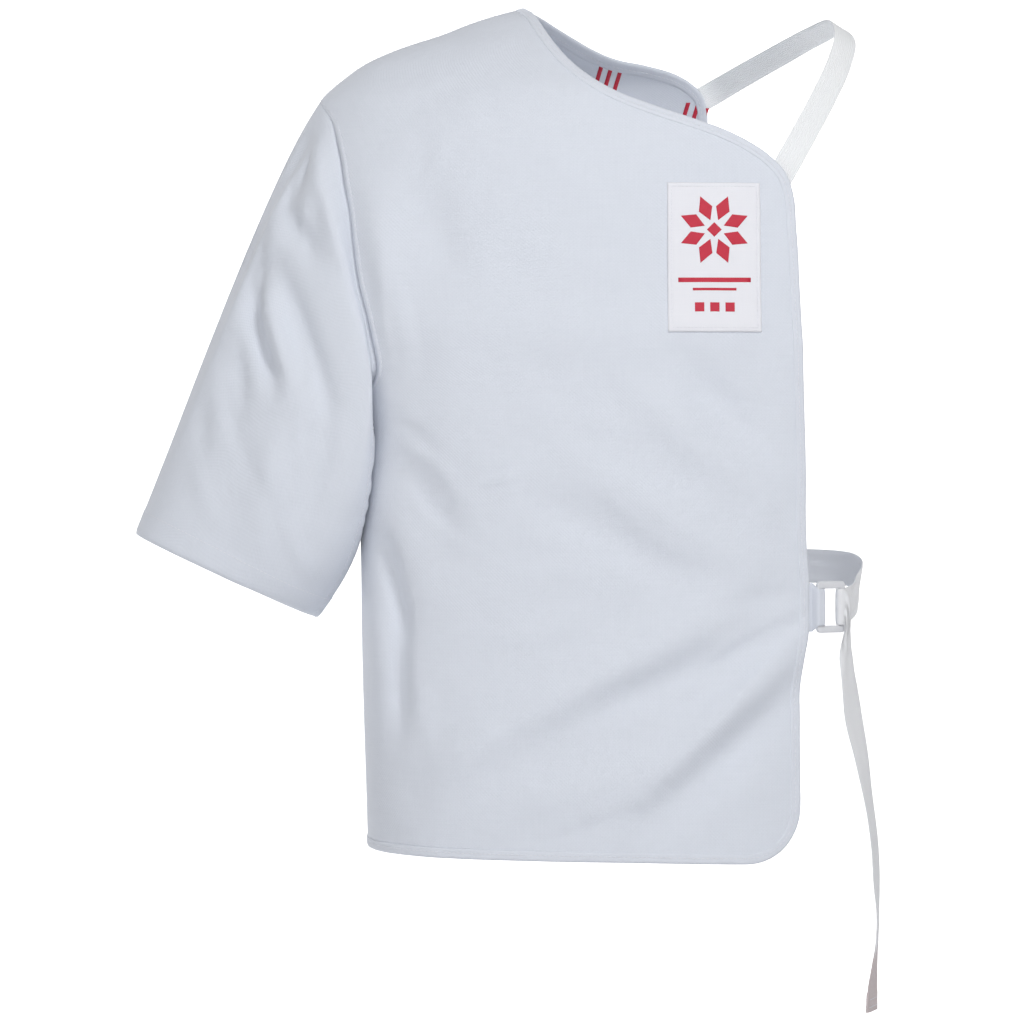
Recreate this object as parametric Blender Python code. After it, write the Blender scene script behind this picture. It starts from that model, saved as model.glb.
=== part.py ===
"""A fencing underplastron as it hangs on a general figure, hollow, with every sewn piece as its own solid.

The cloth lies on a figure of level rings. Heights and sideways places are measured from the neck point, where the
front, the back and the collar line meet on the shoulder seam; x runs to the wearer's left, y to the back, z up.
Tables are in millimetres and degrees. The part's own origin lies under the shoulder seam, where the wearer carries
it, and every point is moved from the neck point to there when its mesh is made.
"""

import math
from collections import namedtuple

import bmesh
import bpy
import numpy as np
from mathutils import Vector
from mathutils.bvhtree import BVHTree

MM = 0.001

# Cloth, tapes and gaps
WALL = 2.0
SEAM_GAP = 0.3
BINDING_WIDTH = 6.0
BINDING_PROUD = 0.5
LABEL_THICKNESS = 0.8
LABEL_GAP = 0.55
ELASTIC_WIDTH = 18.0
ELASTIC_THICKNESS = 1.4
WEBBING_WIDTH = 25.0
WEBBING_THICKNESS = 1.5
TAB_HEIGHT = 34.0
TAB_THICKNESS = 1.2
TAB_AT_BUCKLE = 25.4
STRAP_EASE = 0.35

# Where the shoulder carries the garment: under the wall of the shoulder seam, half way to the sleeve
CARRY_X = -120.0
FRONT = -1
BACK = 1

# One row per level ring of the figure
Ring = namedtuple("Ring", "height half_width front_depth back_depth squareness")
RINGS = (
    Ring(-640, 178.5, 121, 119, 2.9),
    Ring(-570, 180.5, 120, 118, 2.9),
    Ring(-500, 182.8, 118, 115, 2.85),
    Ring(-450, 184, 117, 112, 2.8),
    Ring(-400, 184.5, 117, 111, 2.8),
    Ring(-350, 186, 117, 113.5, 2.85),
    Ring(-320, 187.5, 116.5, 116.2, 2.88),
    Ring(-300, 191, 116, 118, 2.88),
    Ring(-280, 198, 115, 119.5, 2.87),
    Ring(-260, 206.5, 114, 120.8, 2.84),
    Ring(-230, 217.5, 112, 122, 2.75),
    Ring(-200, 225.5, 110, 122, 2.62),
    Ring(-160, 230, 106.5, 121, 2.38),
    Ring(-130, 229.5, 103, 118, 2.25),
    Ring(-105, 227, 98.5, 115, 2.1),
    Ring(-85, 220.5, 92, 112, 2.05),
    Ring(-66, 213, 82, 108, 2),
    Ring(-52, 197.5, 70, 104, 2),
    Ring(-40, 180, 59, 98, 2),
    Ring(-29, 154.5, 48, 87, 2),
    Ring(-20, 127, 38, 73, 2),
    Ring(-12, 107, 28, 57, 2),
    Ring(-6, 88.5, 19, 42, 2),
    Ring(-2.5, 76, 12, 29, 2),
    Ring(0, 65, 6, 15, 2),
)

# The armhole on the front, from the shoulder tip to the underarm point, with the angle round the ring
Armhole = namedtuple("Armhole", "height angle")
ARMHOLE = (
    Armhole(-66, 0),
    Armhole(-75, 15),
    Armhole(-88, 24.5),
    Armhole(-108, 31),
    Armhole(-135, 36),
    Armhole(-168, 39.5),
    Armhole(-205, 41.5),
    Armhole(-240, 42.5),
    Armhole(-264, 41),
    Armhole(-282, 33.5),
    Armhole(-295, 19),
    Armhole(-300, 0),
)
BACK_ARMHOLE_SHARE = 0.88

# Free edge and neckline, seen from straight in front, from above the lower corner up to the neck point
Edge = namedtuple("Edge", "x height")
FRONT_EDGE = (
    Edge(123.6, -545),
    Edge(123.8, -500),
    Edge(126, -462),
    Edge(129.6, -438),
    Edge(130, -412),
    Edge(128, -383),
    Edge(127.6, -330),
    Edge(125.4, -265),
    Edge(123.4, -210),
    Edge(121.2, -165),
    Edge(119, -141),
    Edge(114.4, -127.5),
    Edge(104.6, -116.5),
    Edge(90, -106),
    Edge(71, -96.5),
    Edge(48, -88.5),
    Edge(20, -78.5),
    Edge(-4, -68),
    Edge(-22, -57),
    Edge(-36, -44),
    Edge(-46.5, -30),
    Edge(-55, -15.5),
    Edge(-61.5, -4.5),
)
BACK_EDGE = (
    Edge(82, -545),
    Edge(83, -470),
    Edge(85, -405),
    Edge(80, -330),
    Edge(74, -230),
    Edge(71, -130),
    Edge(70.4, -76),
    Edge(69.6, -61),
    Edge(66, -51),
    Edge(57.5, -42.8),
    Edge(45, -36),
    Edge(24, -30.4),
    Edge(-3, -25),
    Edge(-18, -19.5),
    Edge(-32, -13),
    Edge(-46, -7),
    Edge(-56, -3),
)
HEM_SIDE = -600.8
FRONT_HEM_CORNER = -605.6
BACK_HEM_CORNER = -604.0
CORNER_RADIUS = 38.0
NECK_RIDGE_X = 66.5

# Folds: a line seen from in front or behind, how far its middle stands out of the cloth, and its half width
Fold = namedtuple("Fold", "x height end_x end_height lift spread")
FRONT_FOLDS = (
    Fold(-168, -382, -154, -445, -8, 9),
    Fold(-155, -432, -157, -520, -7, 9),
    Fold(-171, -418, -169, -492, 4, 10),
    Fold(122, -452, 14, -556, 8.5, 14),
    Fold(40, -536, -92, -570, 5, 18),
    Fold(70, -432, -106, -528, 7, 17),
    Fold(-85, -505, -135, -566, 5, 18),
    Fold(100, -450, -44, -507, -5.5, 13),
    Fold(119, -490, 18, -572, -6, 13),
    Fold(-150, -236, 122, -243, 3.5, 20),
    Fold(40, -258, 96, -316, -5, 14),
    Fold(8, -274, 68, -336, 5, 14),
    Fold(-32, -324, 84, -404, 5, 16),
    Fold(-60, -352, 40, -410, -4, 15),
    Fold(-152, -330, -118, -385, -6.5, 17),
    Fold(-176, -138, -152, -240, 6, 14),
    Fold(-145, -120, -118, -195, -4.5, 17),
)
BACK_FOLDS = (
    Fold(-165, -395, -148, -480, -5, 14),
    Fold(-155, -320, -118, -375, -5, 18),
    Fold(-140, -285, -95, -340, 3.5, 14),
    Fold(40, -420, -60, -476, 5, 18),
    Fold(50, -450, -20, -545, -4, 16),
    Fold(66, -470, 10, -570, 4.5, 17),
    Fold(10, -396, -110, -420, 3.5, 19),
    Fold(-60, -440, -130, -545, 4, 16),
    Fold(-172, -150, -140, -245, 4.5, 15),
    Fold(-120, -110, -60, -200, -3, 20),
    Fold(-20, -120, 60, -190, 3, 18),
    Fold(70, -190, -60, -300, -3.5, 16),
    Fold(60, -260, -40, -360, 3.5, 15),
)
SLEEVE_FOLDS = (
    Fold(-221, -88, -237, -146, -6, 9),
    Fold(-238, -148, -218, -182, -4.5, 10),
    Fold(-213, -108, -194, -188, 5, 11),
    Fold(-258, -170, -262, -226, -6, 10),
    Fold(-262, -214, -242, -276, -6.5, 10),
    Fold(-250, -206, -232, -284, 5, 11),
    Fold(-243, -190, -206, -288, -6, 11),
    Fold(-272, -242, -268, -296, -4.5, 10),
    Fold(-238, -298, -252, -380, 5.5, 17),
    Fold(-297, -282, -299, -324, -4, 10),
)
SLEEVE_BACK_FOLDS = (
    Fold(-228, -100, -250, -175, -4, 11),
    Fold(-262, -185, -240, -270, 3.5, 13),
    Fold(-215, -200, -232, -290, -4.5, 11),
    Fold(-290, -250, -262, -330, -4, 11),
    Fold(-240, -300, -270, -385, 4, 18),
)

# Rows of the panels, from the hem to the neck point, and columns across them
SIDE_ROWS = 20
ARMHOLE_ROWS = 14
SHOULDER_ROWS = 9
FRONT_COLUMNS = 20
BACK_COLUMNS = 16
# How level a row stays as it leaves the seams
ROW_BOW = 1.5
# Share of the free edge and neckline that each of the three groups of rows covers
FRONT_SHARES = (0.41, 0.66)
BACK_SHARES = (0.46, 0.76)

# Sleeve
SLEEVE_RINGS = 24
CUFF_CENTRE = (-281.0, -3.0, -408.2)
CUFF_HALF_WIDTH = 72.2
CUFF_HALF_DEPTH = 60.0
CUFF_TILT = 24.8
CUFF_SQUARENESS = 2.25
SLEEVE_CLEAR = 3.0
# The sleeve leaves the body with this lean away from it, and runs straight on for this long, at the shoulder tip,
# beside the armhole and at the underarm
LEAN_TIP = -1.0
LEAN_SIDE = 32.0
LEAN_UNDER = 88.0
LEAVING_TIP = 57.0
LEAVING_SIDE = 42.0
LEAVING_UNDER = 10.0
# It reaches the cuff along these directions, over these lengths, on its outer and inner side
OUTER_WAY = (-0.37, 0.0, -0.929)
INNER_WAY = (-0.51, 0.0, -0.86)
ARRIVING_OUTER = 100.0
ARRIVING_INNER = 68.0
ARRIVING_TUCK = 4.0
# It bulges in front of the body's side: sideways, forward, and what share of that begins where it leaves the body
BULGE_ACROSS = 82.0
BULGE_FORWARD = 45.0
BULGE_START = 0.55
# Below this height, and fully this much lower, the sleeve keeps clear of the body
CLEAR_BELOW = -262.0
CLEAR_OVER = 34.0
RING_CROWDING = 1.25
# The sleeve's rounded head covers this share of the armhole's height
HEAD_SHARE = 0.3

# Label on the chest
LABEL_LEFT = 31.0
LABEL_RIGHT = 95.5
LABEL_TOP = -135.0
LABEL_BOTTOM = -239.0
LABEL_COLUMNS = 6
LABEL_ROWS = 9

# Buckle frame in its own plane: along the strap, up, and through
BUCKLE_CENTRE = (145.4, -87.0, -429.0)
BUCKLE_TURN = 35.0
BUCKLE_LENGTH = 25.0
BUCKLE_HEIGHT = 36.0
BUCKLE_BAR = 4.0
BUCKLE_END_BAR = 4.5
BUCKLE_THICKNESS = 3.0
BUCKLE_ROUNDING = 0.8
BUCKLE_CORNER = 3.0
SLOT_CORNER = 1.0
BEND_STEPS = 6

# Shoulder strap: under the back's top corner, over the free shoulder, and inside the front's corner
Place = namedtuple("Place", "x height")
STRAP_ON_BACK = (Place(46.0, -67.0), Place(58.0, -59.0))
STRAP_IN_FRONT = (Place(111.5, -128.0), Place(104.0, -141.0), Place(97.0, -154.0))
Run = namedtuple("Run", "x y height out_x out_y out_z")
STRAP_RUN = (
    Run(74.0, 103.5, -49.5, 0.10, 0.95, 0.30),
    Run(92.0, 91.0, -40.0, 0.20, 0.85, 0.50),
    Run(119.0, 65.0, -27.0, 0.35, 0.65, 0.70),
    Run(144.0, 33.0, -16.0, 0.45, 0.35, 0.85),
    Run(159.0, 5.0, -12.5, 0.50, 0.00, 0.90),
    Run(162.0, -17.0, -23.5, 0.50, -0.35, 0.75),
    Run(156.0, -39.0, -44.0, 0.45, -0.60, 0.60),
    Run(143.0, -62.0, -71.0, 0.40, -0.75, 0.50),
    Run(127.0, -80.0, -100.0, 0.35, -0.85, 0.40),
)
STRAP_SECTIONS = 32

# Tab: places of its sewn end inside the front's free edge
TAB_PLACES = (104.0, 113.0, 123.0, 133.8)

# Waist strap: sewn end on the back, then round the open side to the buckle
WAIST_ON_BACK = (Place(44.0, -400.5), Place(58.0, -401.0), Place(72.0, -401.5), Place(84.0, -402.0))
Round = namedtuple("Round", "x y height")
WAIST_ROUND = (
    Round(104.0, 105.5, -402.0),
    Round(129.0, 93.0, -402.5),
    Round(151.0, 73.0, -403.0),
    Round(166.0, 46.0, -404.0),
    Round(172.3, 12.0, -406.5),
    Round(172.0, -18.0, -411.5),
    Round(168.5, -42.0, -418.5),
    Round(163.0, -59.5, -425.5),
)
WAIST_SECTIONS = 26
# It ends this far past the far bar and this far behind it, before it bends through the slot
WAIST_PAST_BAR = 2.5
WAIST_BEHIND_BAR = 1.1
# Its lower edge leans in towards the body by this much where it comes round the side, at this y and over this width
WAIST_LEAN = 0.2
WAIST_LEAN_Y = -14.0
WAIST_LEAN_WIDTH = 26.0
# It bunches as it turns down over the far bar: along and up of its two edges there, and how far out of the bar
Turn = namedtuple("Turn", "upper_along upper_up lower_along lower_up out")
WAIST_TURN = (
    Turn(10.8, 12.0, 9.7, -12.6, 0.1),
    Turn(13.2, 9.5, 9.7, -13.2, 0.7),
    Turn(14.8, 2.0, 9.0, -15.0, 1.5),
    Turn(14.8, -7.5, 7.6, -18.5, 2.2),
    Turn(13.9, -16.5, 5.2, -23.8, 2.8),
)
# The hanging end: its middle line and how far its width is turned from facing the front
Hang = namedtuple("Hang", "x y height turn half_width")
WAIST_HANG = (
    Hang(156.0, -89.0, -459, 44, 5.8),
    Hang(156.8, -90.0, -469, 56, 8.6),
    Hang(158.2, -91.5, -483, 61, 12.0),
    Hang(160.7, -93.0, -507, 58, 12.5),
    Hang(166.7, -94.0, -535, 63, 12.5),
    Hang(171.2, -94.5, -562, 69, 12.5),
    Hang(174.7, -94.5, -590, 71, 12.5),
    Hang(176.7, -94.0, -618, 74, 12.5),
    Hang(177.8, -93.5, -646, 84, 12.5),
    Hang(177.1, -93.0, -661, 84, 12.5),
    Hang(175.3, -93.0, -676, 79, 12.5),
    Hang(173.7, -93.5, -693, 71, 12.5),
    Hang(173.3, -94.0, -709, 68, 12.5),
)
HANG_SECTIONS = 34
HEMMED_SECTIONS = 4

COLOURS = {
    "cloth": (0.66, 0.68, 0.76),
    "binding": (0.70, 0.72, 0.79),
    "patch": (0.78, 0.79, 0.84),
    "elastic": (0.80, 0.80, 0.84),
    "webbing": (0.72, 0.73, 0.80),
    "plastic": (0.70, 0.71, 0.75),
}


def smooth_curve(knots, values, at):
    """A cubic curve through a table, held level past its ends; knots may rise or fall."""
    knots = np.asarray(knots, float)
    values = np.asarray(values, float)
    if knots[0] > knots[-1]:
        knots = knots[::-1]
        values = values[::-1]
    slopes = np.gradient(values, knots)
    at = np.clip(np.asarray(at, float), knots[0], knots[-1])
    low = np.clip(np.searchsorted(knots, at, side="right") - 1, 0, len(knots) - 2)
    step = knots[low + 1] - knots[low]
    t = (at - knots[low]) / step
    rise = values[low + 1] - values[low]
    return (
        values[low]
        + step * slopes[low] * t * (1 - t) ** 2
        + rise * t * t * (3 - 2 * t)
        - step * slopes[low + 1] * t * t * (1 - t)
    )


def smooth_path(points, samples):
    """Points on a smooth line through a short list of points, evenly spaced along it."""
    points = np.asarray(points, float)
    steps = np.linalg.norm(np.diff(points, axis=0), axis=1)
    along = np.concatenate(([0.0], np.cumsum(steps)))
    fine = np.linspace(0, along[-1], 40 * len(points))
    line = np.stack([smooth_curve(along, points[:, i], fine) for i in range(points.shape[1])], axis=1)
    lengths = np.concatenate(([0.0], np.cumsum(np.linalg.norm(np.diff(line, axis=0), axis=1))))
    at = np.interp(np.linspace(0, lengths[-1], samples), lengths, fine)
    return np.stack([smooth_curve(along, points[:, i], at) for i in range(points.shape[1])], axis=1)


def ease(t):
    """0 below 0, 1 above 1, and a soft rise between."""
    t = np.clip(t, 0, 1)
    return t * t * (3 - 2 * t)


def unit(vectors):
    return vectors / np.linalg.norm(vectors, axis=-1, keepdims=True)


def ring_size(column, height):
    heights = [row.height for row in RINGS]
    return smooth_curve(heights, [getattr(row, column) for row in RINGS], height)


def plain_point(side, angle, height):
    """The figure's surface at an angle round a level ring: 0 at the sleeve side, 90 at the centre."""
    angle = np.radians(angle)
    across = np.cos(angle)
    through = np.sin(angle)
    power = ring_size("squareness", height)
    reach = (np.abs(across) ** power + np.abs(through) ** power) ** (-1 / power)
    depth = ring_size("front_depth" if side == FRONT else "back_depth", height)
    x = -ring_size("half_width", height) * reach * across
    return np.stack([x, side * depth * reach * through, height + 0 * x], axis=-1)


def surface_normal(surface, side, angle, height):
    """The outward direction of a surface given by angle and height."""
    turn = 0.4
    rise = 0.8
    around = surface(side, angle + turn, height) - surface(side, angle - turn, height)
    up = surface(side, angle, height + rise) - surface(side, angle, height - rise)
    return unit(side * np.cross(up, around))


def fold_lift(folds, x, height):
    """How far the folds push the cloth out at a place seen from in front."""
    lift = 0 * x
    for fold in folds:
        run = np.array([fold.end_x - fold.x, fold.end_height - fold.height])
        length = np.linalg.norm(run)
        along = ((x - fold.x) * run[0] + (height - fold.height) * run[1]) / length
        share = np.clip(along / length, 0, 1)
        off_x = x - fold.x - share * run[0]
        off_height = height - fold.height - share * run[1]
        away = np.hypot(off_x, off_height) / fold.spread
        lift = lift + fold.lift * np.exp(-away * away) * np.sin(math.pi * (0.12 + 0.76 * share))
    return lift


def torso_point(side, angle, height):
    """The outer side of the cloth on the body, with its folds."""
    base = plain_point(side, angle, height)
    normal = surface_normal(plain_point, side, angle, height)
    facing = np.clip(side * normal[..., 1], 0, 1) ** 0.7
    folds = FRONT_FOLDS if side == FRONT else BACK_FOLDS
    lift = fold_lift(folds, base[..., 0], base[..., 2]) * facing
    return base + normal * lift[..., None]


def torso_normal(side, angle, height):
    """The outward direction of the cloth, kept square to the seam plane where front and back meet."""
    normal = surface_normal(torso_point, side, angle, height)
    at_seam = np.abs(angle + 0 * height) < 1e-6
    normal[..., 1] = np.where(at_seam, 0, normal[..., 1])
    return unit(normal)


def angle_at(side, x, height):
    """The angle round the ring at a place seen from in front."""
    power = ring_size("squareness", height)
    across = np.clip(-x / ring_size("half_width", height), -1, 1)
    through = (1 - np.abs(across) ** power) ** (1 / power)
    return np.degrees(np.arctan2(through, across))


def armhole_line():
    """Heights and front angles of the armhole from the shoulder tip to the underarm."""
    radius = 150.0
    points = [(row.height, math.radians(row.angle) * radius) for row in ARMHOLE]
    line = smooth_path(points, ARMHOLE_ROWS + 1)
    return line[:, 0], np.degrees(line[:, 1] / radius)


def ridge_heights(half_widths):
    """Heights of the shoulder seam at given distances from the middle of the figure."""
    upper = [row for row in RINGS if row.height >= ARMHOLE[0].height]
    return smooth_curve([row.half_width for row in upper], [row.height for row in upper], half_widths)


def left_border(side):
    """Angles and heights of a panel's border from the hem up the side seam, the armhole and the shoulder seam."""
    hem = HEM_SIDE + BINDING_WIDTH + SEAM_GAP
    side_heights = np.linspace(hem, ARMHOLE[-1].height, SIDE_ROWS + 1)
    arm_heights, arm_angles = armhole_line()
    tip = -plain_point(FRONT, 0.0, float(ARMHOLE[0].height))[0]
    ridge = ridge_heights(np.linspace(tip, NECK_RIDGE_X + BINDING_WIDTH + SEAM_GAP, SHOULDER_ROWS + 1))
    heights = np.concatenate([side_heights, arm_heights[::-1][1:], ridge[1:]])
    angles = np.concatenate([0 * side_heights, arm_angles[::-1][1:], 0 * ridge[1:]])
    angles[SIDE_ROWS] = 0.0
    angles[SIDE_ROWS + ARMHOLE_ROWS] = 0.0
    if side == BACK:
        angles = angles * BACK_ARMHOLE_SHARE
    return angles, heights


def free_border(side):
    """The finished edge of a panel and the line one binding width inside it, both as angles and heights.

    The first point is where the hem meets the rounded corner and the last lies on the shoulder seam.
    """
    edge = FRONT_EDGE if side == FRONT else BACK_EDGE
    corner_height = FRONT_HEM_CORNER if side == FRONT else BACK_HEM_CORNER
    centre_x = edge[0].x - CORNER_RADIUS
    centre_height = corner_height + CORNER_RADIUS
    turns = np.radians(np.linspace(-90, 0, 13))
    arc = [(centre_x + CORNER_RADIUS * math.cos(a), centre_height + CORNER_RADIUS * math.sin(a)) for a in turns]
    ridge_height = float(ridge_heights(NECK_RIDGE_X))
    points = arc + [tuple(row) for row in edge] + [(-NECK_RIDGE_X, ridge_height)]
    line = smooth_path(points, 600)
    along = unit(np.gradient(line, axis=0))
    inward = np.stack([-along[:, 1], along[:, 0]], axis=1)
    inner = line + inward * (BINDING_WIDTH + SEAM_GAP)
    shares = FRONT_SHARES if side == FRONT else BACK_SHARES
    steps = np.concatenate(
        [
            np.linspace(0, shares[0], SIDE_ROWS + 1),
            np.linspace(shares[0], shares[1], ARMHOLE_ROWS + 1)[1:],
            np.linspace(shares[1], 1, SHOULDER_ROWS + 1)[1:],
        ]
    )
    found = []
    for path in (line, inner):
        rows = np.linspace(0, 1, len(path))
        x = np.interp(steps, rows, path[:, 0])
        height = np.interp(steps, rows, path[:, 1])
        found.append([angle_at(side, x, height), height])
    for (angles, heights), width in zip(found, (NECK_RIDGE_X, NECK_RIDGE_X + BINDING_WIDTH + SEAM_GAP)):
        angles[-1] = 0.0
        heights[-1] = ridge_heights(width)
    return found


def panel_grid(side):
    """Angles and heights over a whole panel, a row for each level from the hem up."""
    left_angles, left_heights = left_border(side)
    right_angles, right_heights = free_border(side)[1]
    columns = np.linspace(0, 1, (FRONT_COLUMNS if side == FRONT else BACK_COLUMNS) + 1)
    angles = left_angles[:, None] + (right_angles - left_angles)[:, None] * columns
    heights = left_heights[:, None] + (right_heights - left_heights)[:, None] * columns**ROW_BOW
    return angles, heights


def panel_points(side):
    """Outer points and directions of a panel, with half the seam gap along the seams."""
    angles, heights = panel_grid(side)
    outer = torso_point(side, angles, heights)
    normals = torso_normal(side, angles, heights)
    half_gap = side * SEAM_GAP / 2
    on_seam = angles < 1e-6
    outer[..., 1] = np.where(on_seam, half_gap, outer[..., 1])
    return outer, normals


def make_object(name, mesh_builder, material):
    """An object whose origin is the part's, from a filled bmesh in metres."""
    mesh = bpy.data.meshes.new(name)
    bmesh.ops.recalc_face_normals(mesh_builder, faces=mesh_builder.faces)
    mesh_builder.to_mesh(mesh)
    mesh_builder.free()
    mesh.shade_smooth()
    mesh.set_sharp_from_angle(angle=math.radians(50))
    mesh.materials.append(material)
    obj = bpy.data.objects.new(name, mesh)
    bpy.context.scene.collection.objects.link(obj)
    return obj


def origin():
    """The place under the shoulder wall that becomes the part's origin."""
    return np.array([CARRY_X, 0.0, float(ridge_heights(-CARRY_X)) - WALL])


def add_points(builder, points):
    """Adds figure points in millimetres as vertices of the part in metres, in the shape of the array."""
    moved = (np.asarray(points, float) - origin()) * MM
    flat = [builder.verts.new(point) for point in moved.reshape(-1, 3)]
    return np.array(flat, dtype=object).reshape(moved.shape[:-1])


def add_strip(builder, first, second):
    """Faces between two rows of vertices."""
    for i in range(len(first) - 1):
        corners = [first[i], first[i + 1], second[i + 1], second[i]]
        distinct = [v for n, v in enumerate(corners) if v not in corners[:n]]
        if len(distinct) > 2:
            builder.faces.new(distinct)


def wall(name, outer, normals, material, around=False):
    """A closed wall of cloth: outer points, the same points moved in, and the rims between them."""
    builder = bmesh.new()
    outside = add_points(builder, outer)
    inside = add_points(builder, outer - normals * WALL)
    if around:
        outside = np.concatenate([outside, outside[:, :1]], axis=1)
        inside = np.concatenate([inside, inside[:, :1]], axis=1)
    for row in range(len(outside) - 1):
        add_strip(builder, outside[row], outside[row + 1])
        add_strip(builder, inside[row], inside[row + 1])
    add_strip(builder, outside[0], inside[0])
    add_strip(builder, outside[-1], inside[-1])
    if not around:
        add_strip(builder, outside[:, 0], inside[:, 0])
        add_strip(builder, outside[:, -1], inside[:, -1])
    return make_object(name, builder, material)


def swept(name, sections, material):
    """A closed solid through sections of the same number of points, capped at both ends."""
    builder = bmesh.new()
    rings = add_points(builder, sections)
    closed = np.concatenate([rings, rings[:, :1]], axis=1)
    for row in range(len(closed) - 1):
        add_strip(builder, closed[row], closed[row + 1])
    builder.faces.new(list(rings[0]))
    builder.faces.new(list(rings[-1]))
    return make_object(name, builder, material)


def ribbon(name, centres, half_widths, thickness, material):
    """A flat tape through its centre points, with the vector from its middle to its edge at each."""
    centres = np.asarray(centres, float)
    half_widths = np.asarray(half_widths, float)
    along = unit(np.gradient(centres, axis=0))
    faces = unit(np.cross(along, half_widths)) * (np.broadcast_to(thickness, len(centres))[:, None] / 2)
    sections = np.stack(
        [
            centres - half_widths - faces,
            centres + half_widths - faces,
            centres + half_widths + faces,
            centres - half_widths + faces,
        ],
        axis=1,
    )
    return swept(name, sections, material)


def make_binding(name, side, material):
    """The bound edge round hem, corner, free edge and neckline: thicker than the panel, one gap outside it."""
    angles, heights = panel_grid(side)
    (edge_angles, edge_heights), (line_angles, line_heights) = free_border(side)
    hem_angles = angles[0, :-1]
    hem_heights = heights[0, :-1]
    edge_angles = np.concatenate([hem_angles, edge_angles])
    edge_heights = np.concatenate([hem_heights - BINDING_WIDTH - SEAM_GAP, edge_heights])
    line_angles = np.concatenate([hem_angles, line_angles])
    line_heights = np.concatenate([hem_heights, line_heights])
    width = BINDING_WIDTH + SEAM_GAP
    places = (
        (SEAM_GAP / width, BINDING_PROUD),
        (0.75, BINDING_PROUD),
        (1.0, -0.3 * WALL),
        (1.0, -0.7 * WALL),
        (0.75, -WALL - BINDING_PROUD),
        (SEAM_GAP / width, -WALL - BINDING_PROUD),
    )
    points = []
    for share, rise in places:
        at = line_angles + (edge_angles - line_angles) * share
        height = line_heights + (edge_heights - line_heights) * share
        at_seam = (line_angles < 1e-6) & (edge_angles < 1e-6)
        place = torso_point(side, at, height) + torso_normal(side, at, height) * rise
        place[..., 1] = np.where(at_seam, side * SEAM_GAP / 2, place[..., 1])
        points.append(place)
    return swept(name, np.stack(points, axis=1), material)


def armhole_ring():
    """Points, outward directions and departing directions round the armhole, front first, from the shoulder tip."""
    heights, angles = armhole_line()
    angles[0] = 0.0
    angles[-1] = 0.0
    front = torso_point(FRONT, angles, heights)
    front_normal = torso_normal(FRONT, angles, heights)
    back_angles = angles[::-1][1:-1] * BACK_ARMHOLE_SHARE
    back = torso_point(BACK, back_angles, heights[::-1][1:-1])
    back_normal = torso_normal(BACK, back_angles, heights[::-1][1:-1])
    points = np.concatenate([front, back])
    normals = np.concatenate([front_normal, back_normal])
    along = unit(np.roll(points, -1, axis=0) - np.roll(points, 1, axis=0))
    away = unit(np.cross(normals, along))
    middle = points.mean(axis=0)
    turned = np.sum(away * (middle - points), axis=1) < 0
    away[turned] *= -1
    steps = np.linspace(0, 1, ARMHOLE_ROWS + 1)
    shares = np.concatenate([steps, steps[::-1][1:-1]])
    away[:, 1] *= ease(shares / HEAD_SHARE)
    return points, normals, unit(away), shares


def cuff_ring(turns):
    """Points of the sleeve's opening: a flat rounded ring, tilted down towards the body."""
    tilt = math.radians(CUFF_TILT)
    along = np.array([math.cos(tilt), 0, -math.sin(tilt)])
    across = -np.cos(turns)
    through = -np.sin(turns)
    reach = (np.abs(across) ** CUFF_SQUARENESS + np.abs(through) ** CUFF_SQUARENESS) ** (-1 / CUFF_SQUARENESS)
    depth = np.array([0.0, 1.0, 0.0])
    sideways = (across * reach * CUFF_HALF_WIDTH)[:, None] * along
    return np.array(CUFF_CENTRE) + sideways + (through * reach * CUFF_HALF_DEPTH)[:, None] * depth


def clear_of_body(points, clearance):
    """Moves sleeve points that would touch the body's side straight out to a clearance from it."""
    height = points[..., 2]
    power = ring_size("squareness", height)
    half_width = ring_size("half_width", height) + clearance
    front = ring_size("front_depth", height)
    back = ring_size("back_depth", height)
    depth = np.where(points[..., 1] < 0, front, back) + clearance
    level = (np.abs(points[..., 0]) / half_width) ** power + (np.abs(points[..., 1]) / depth) ** power
    below = ease((CLEAR_BELOW - height) / CLEAR_OVER)
    scale = 1 + (np.maximum(level, 1e-6) ** (-1 / power) - 1) * (level < 1) * below
    moved = points.copy()
    moved[..., 0] *= scale
    moved[..., 1] *= scale
    return moved


def grid_normals(points):
    """Outward directions of a tube of points whose columns go round from the top by the front."""
    down = np.gradient(points, axis=0)
    around = np.roll(points, -1, axis=1) - np.roll(points, 1, axis=1)
    return unit(np.cross(down, around))


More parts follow.
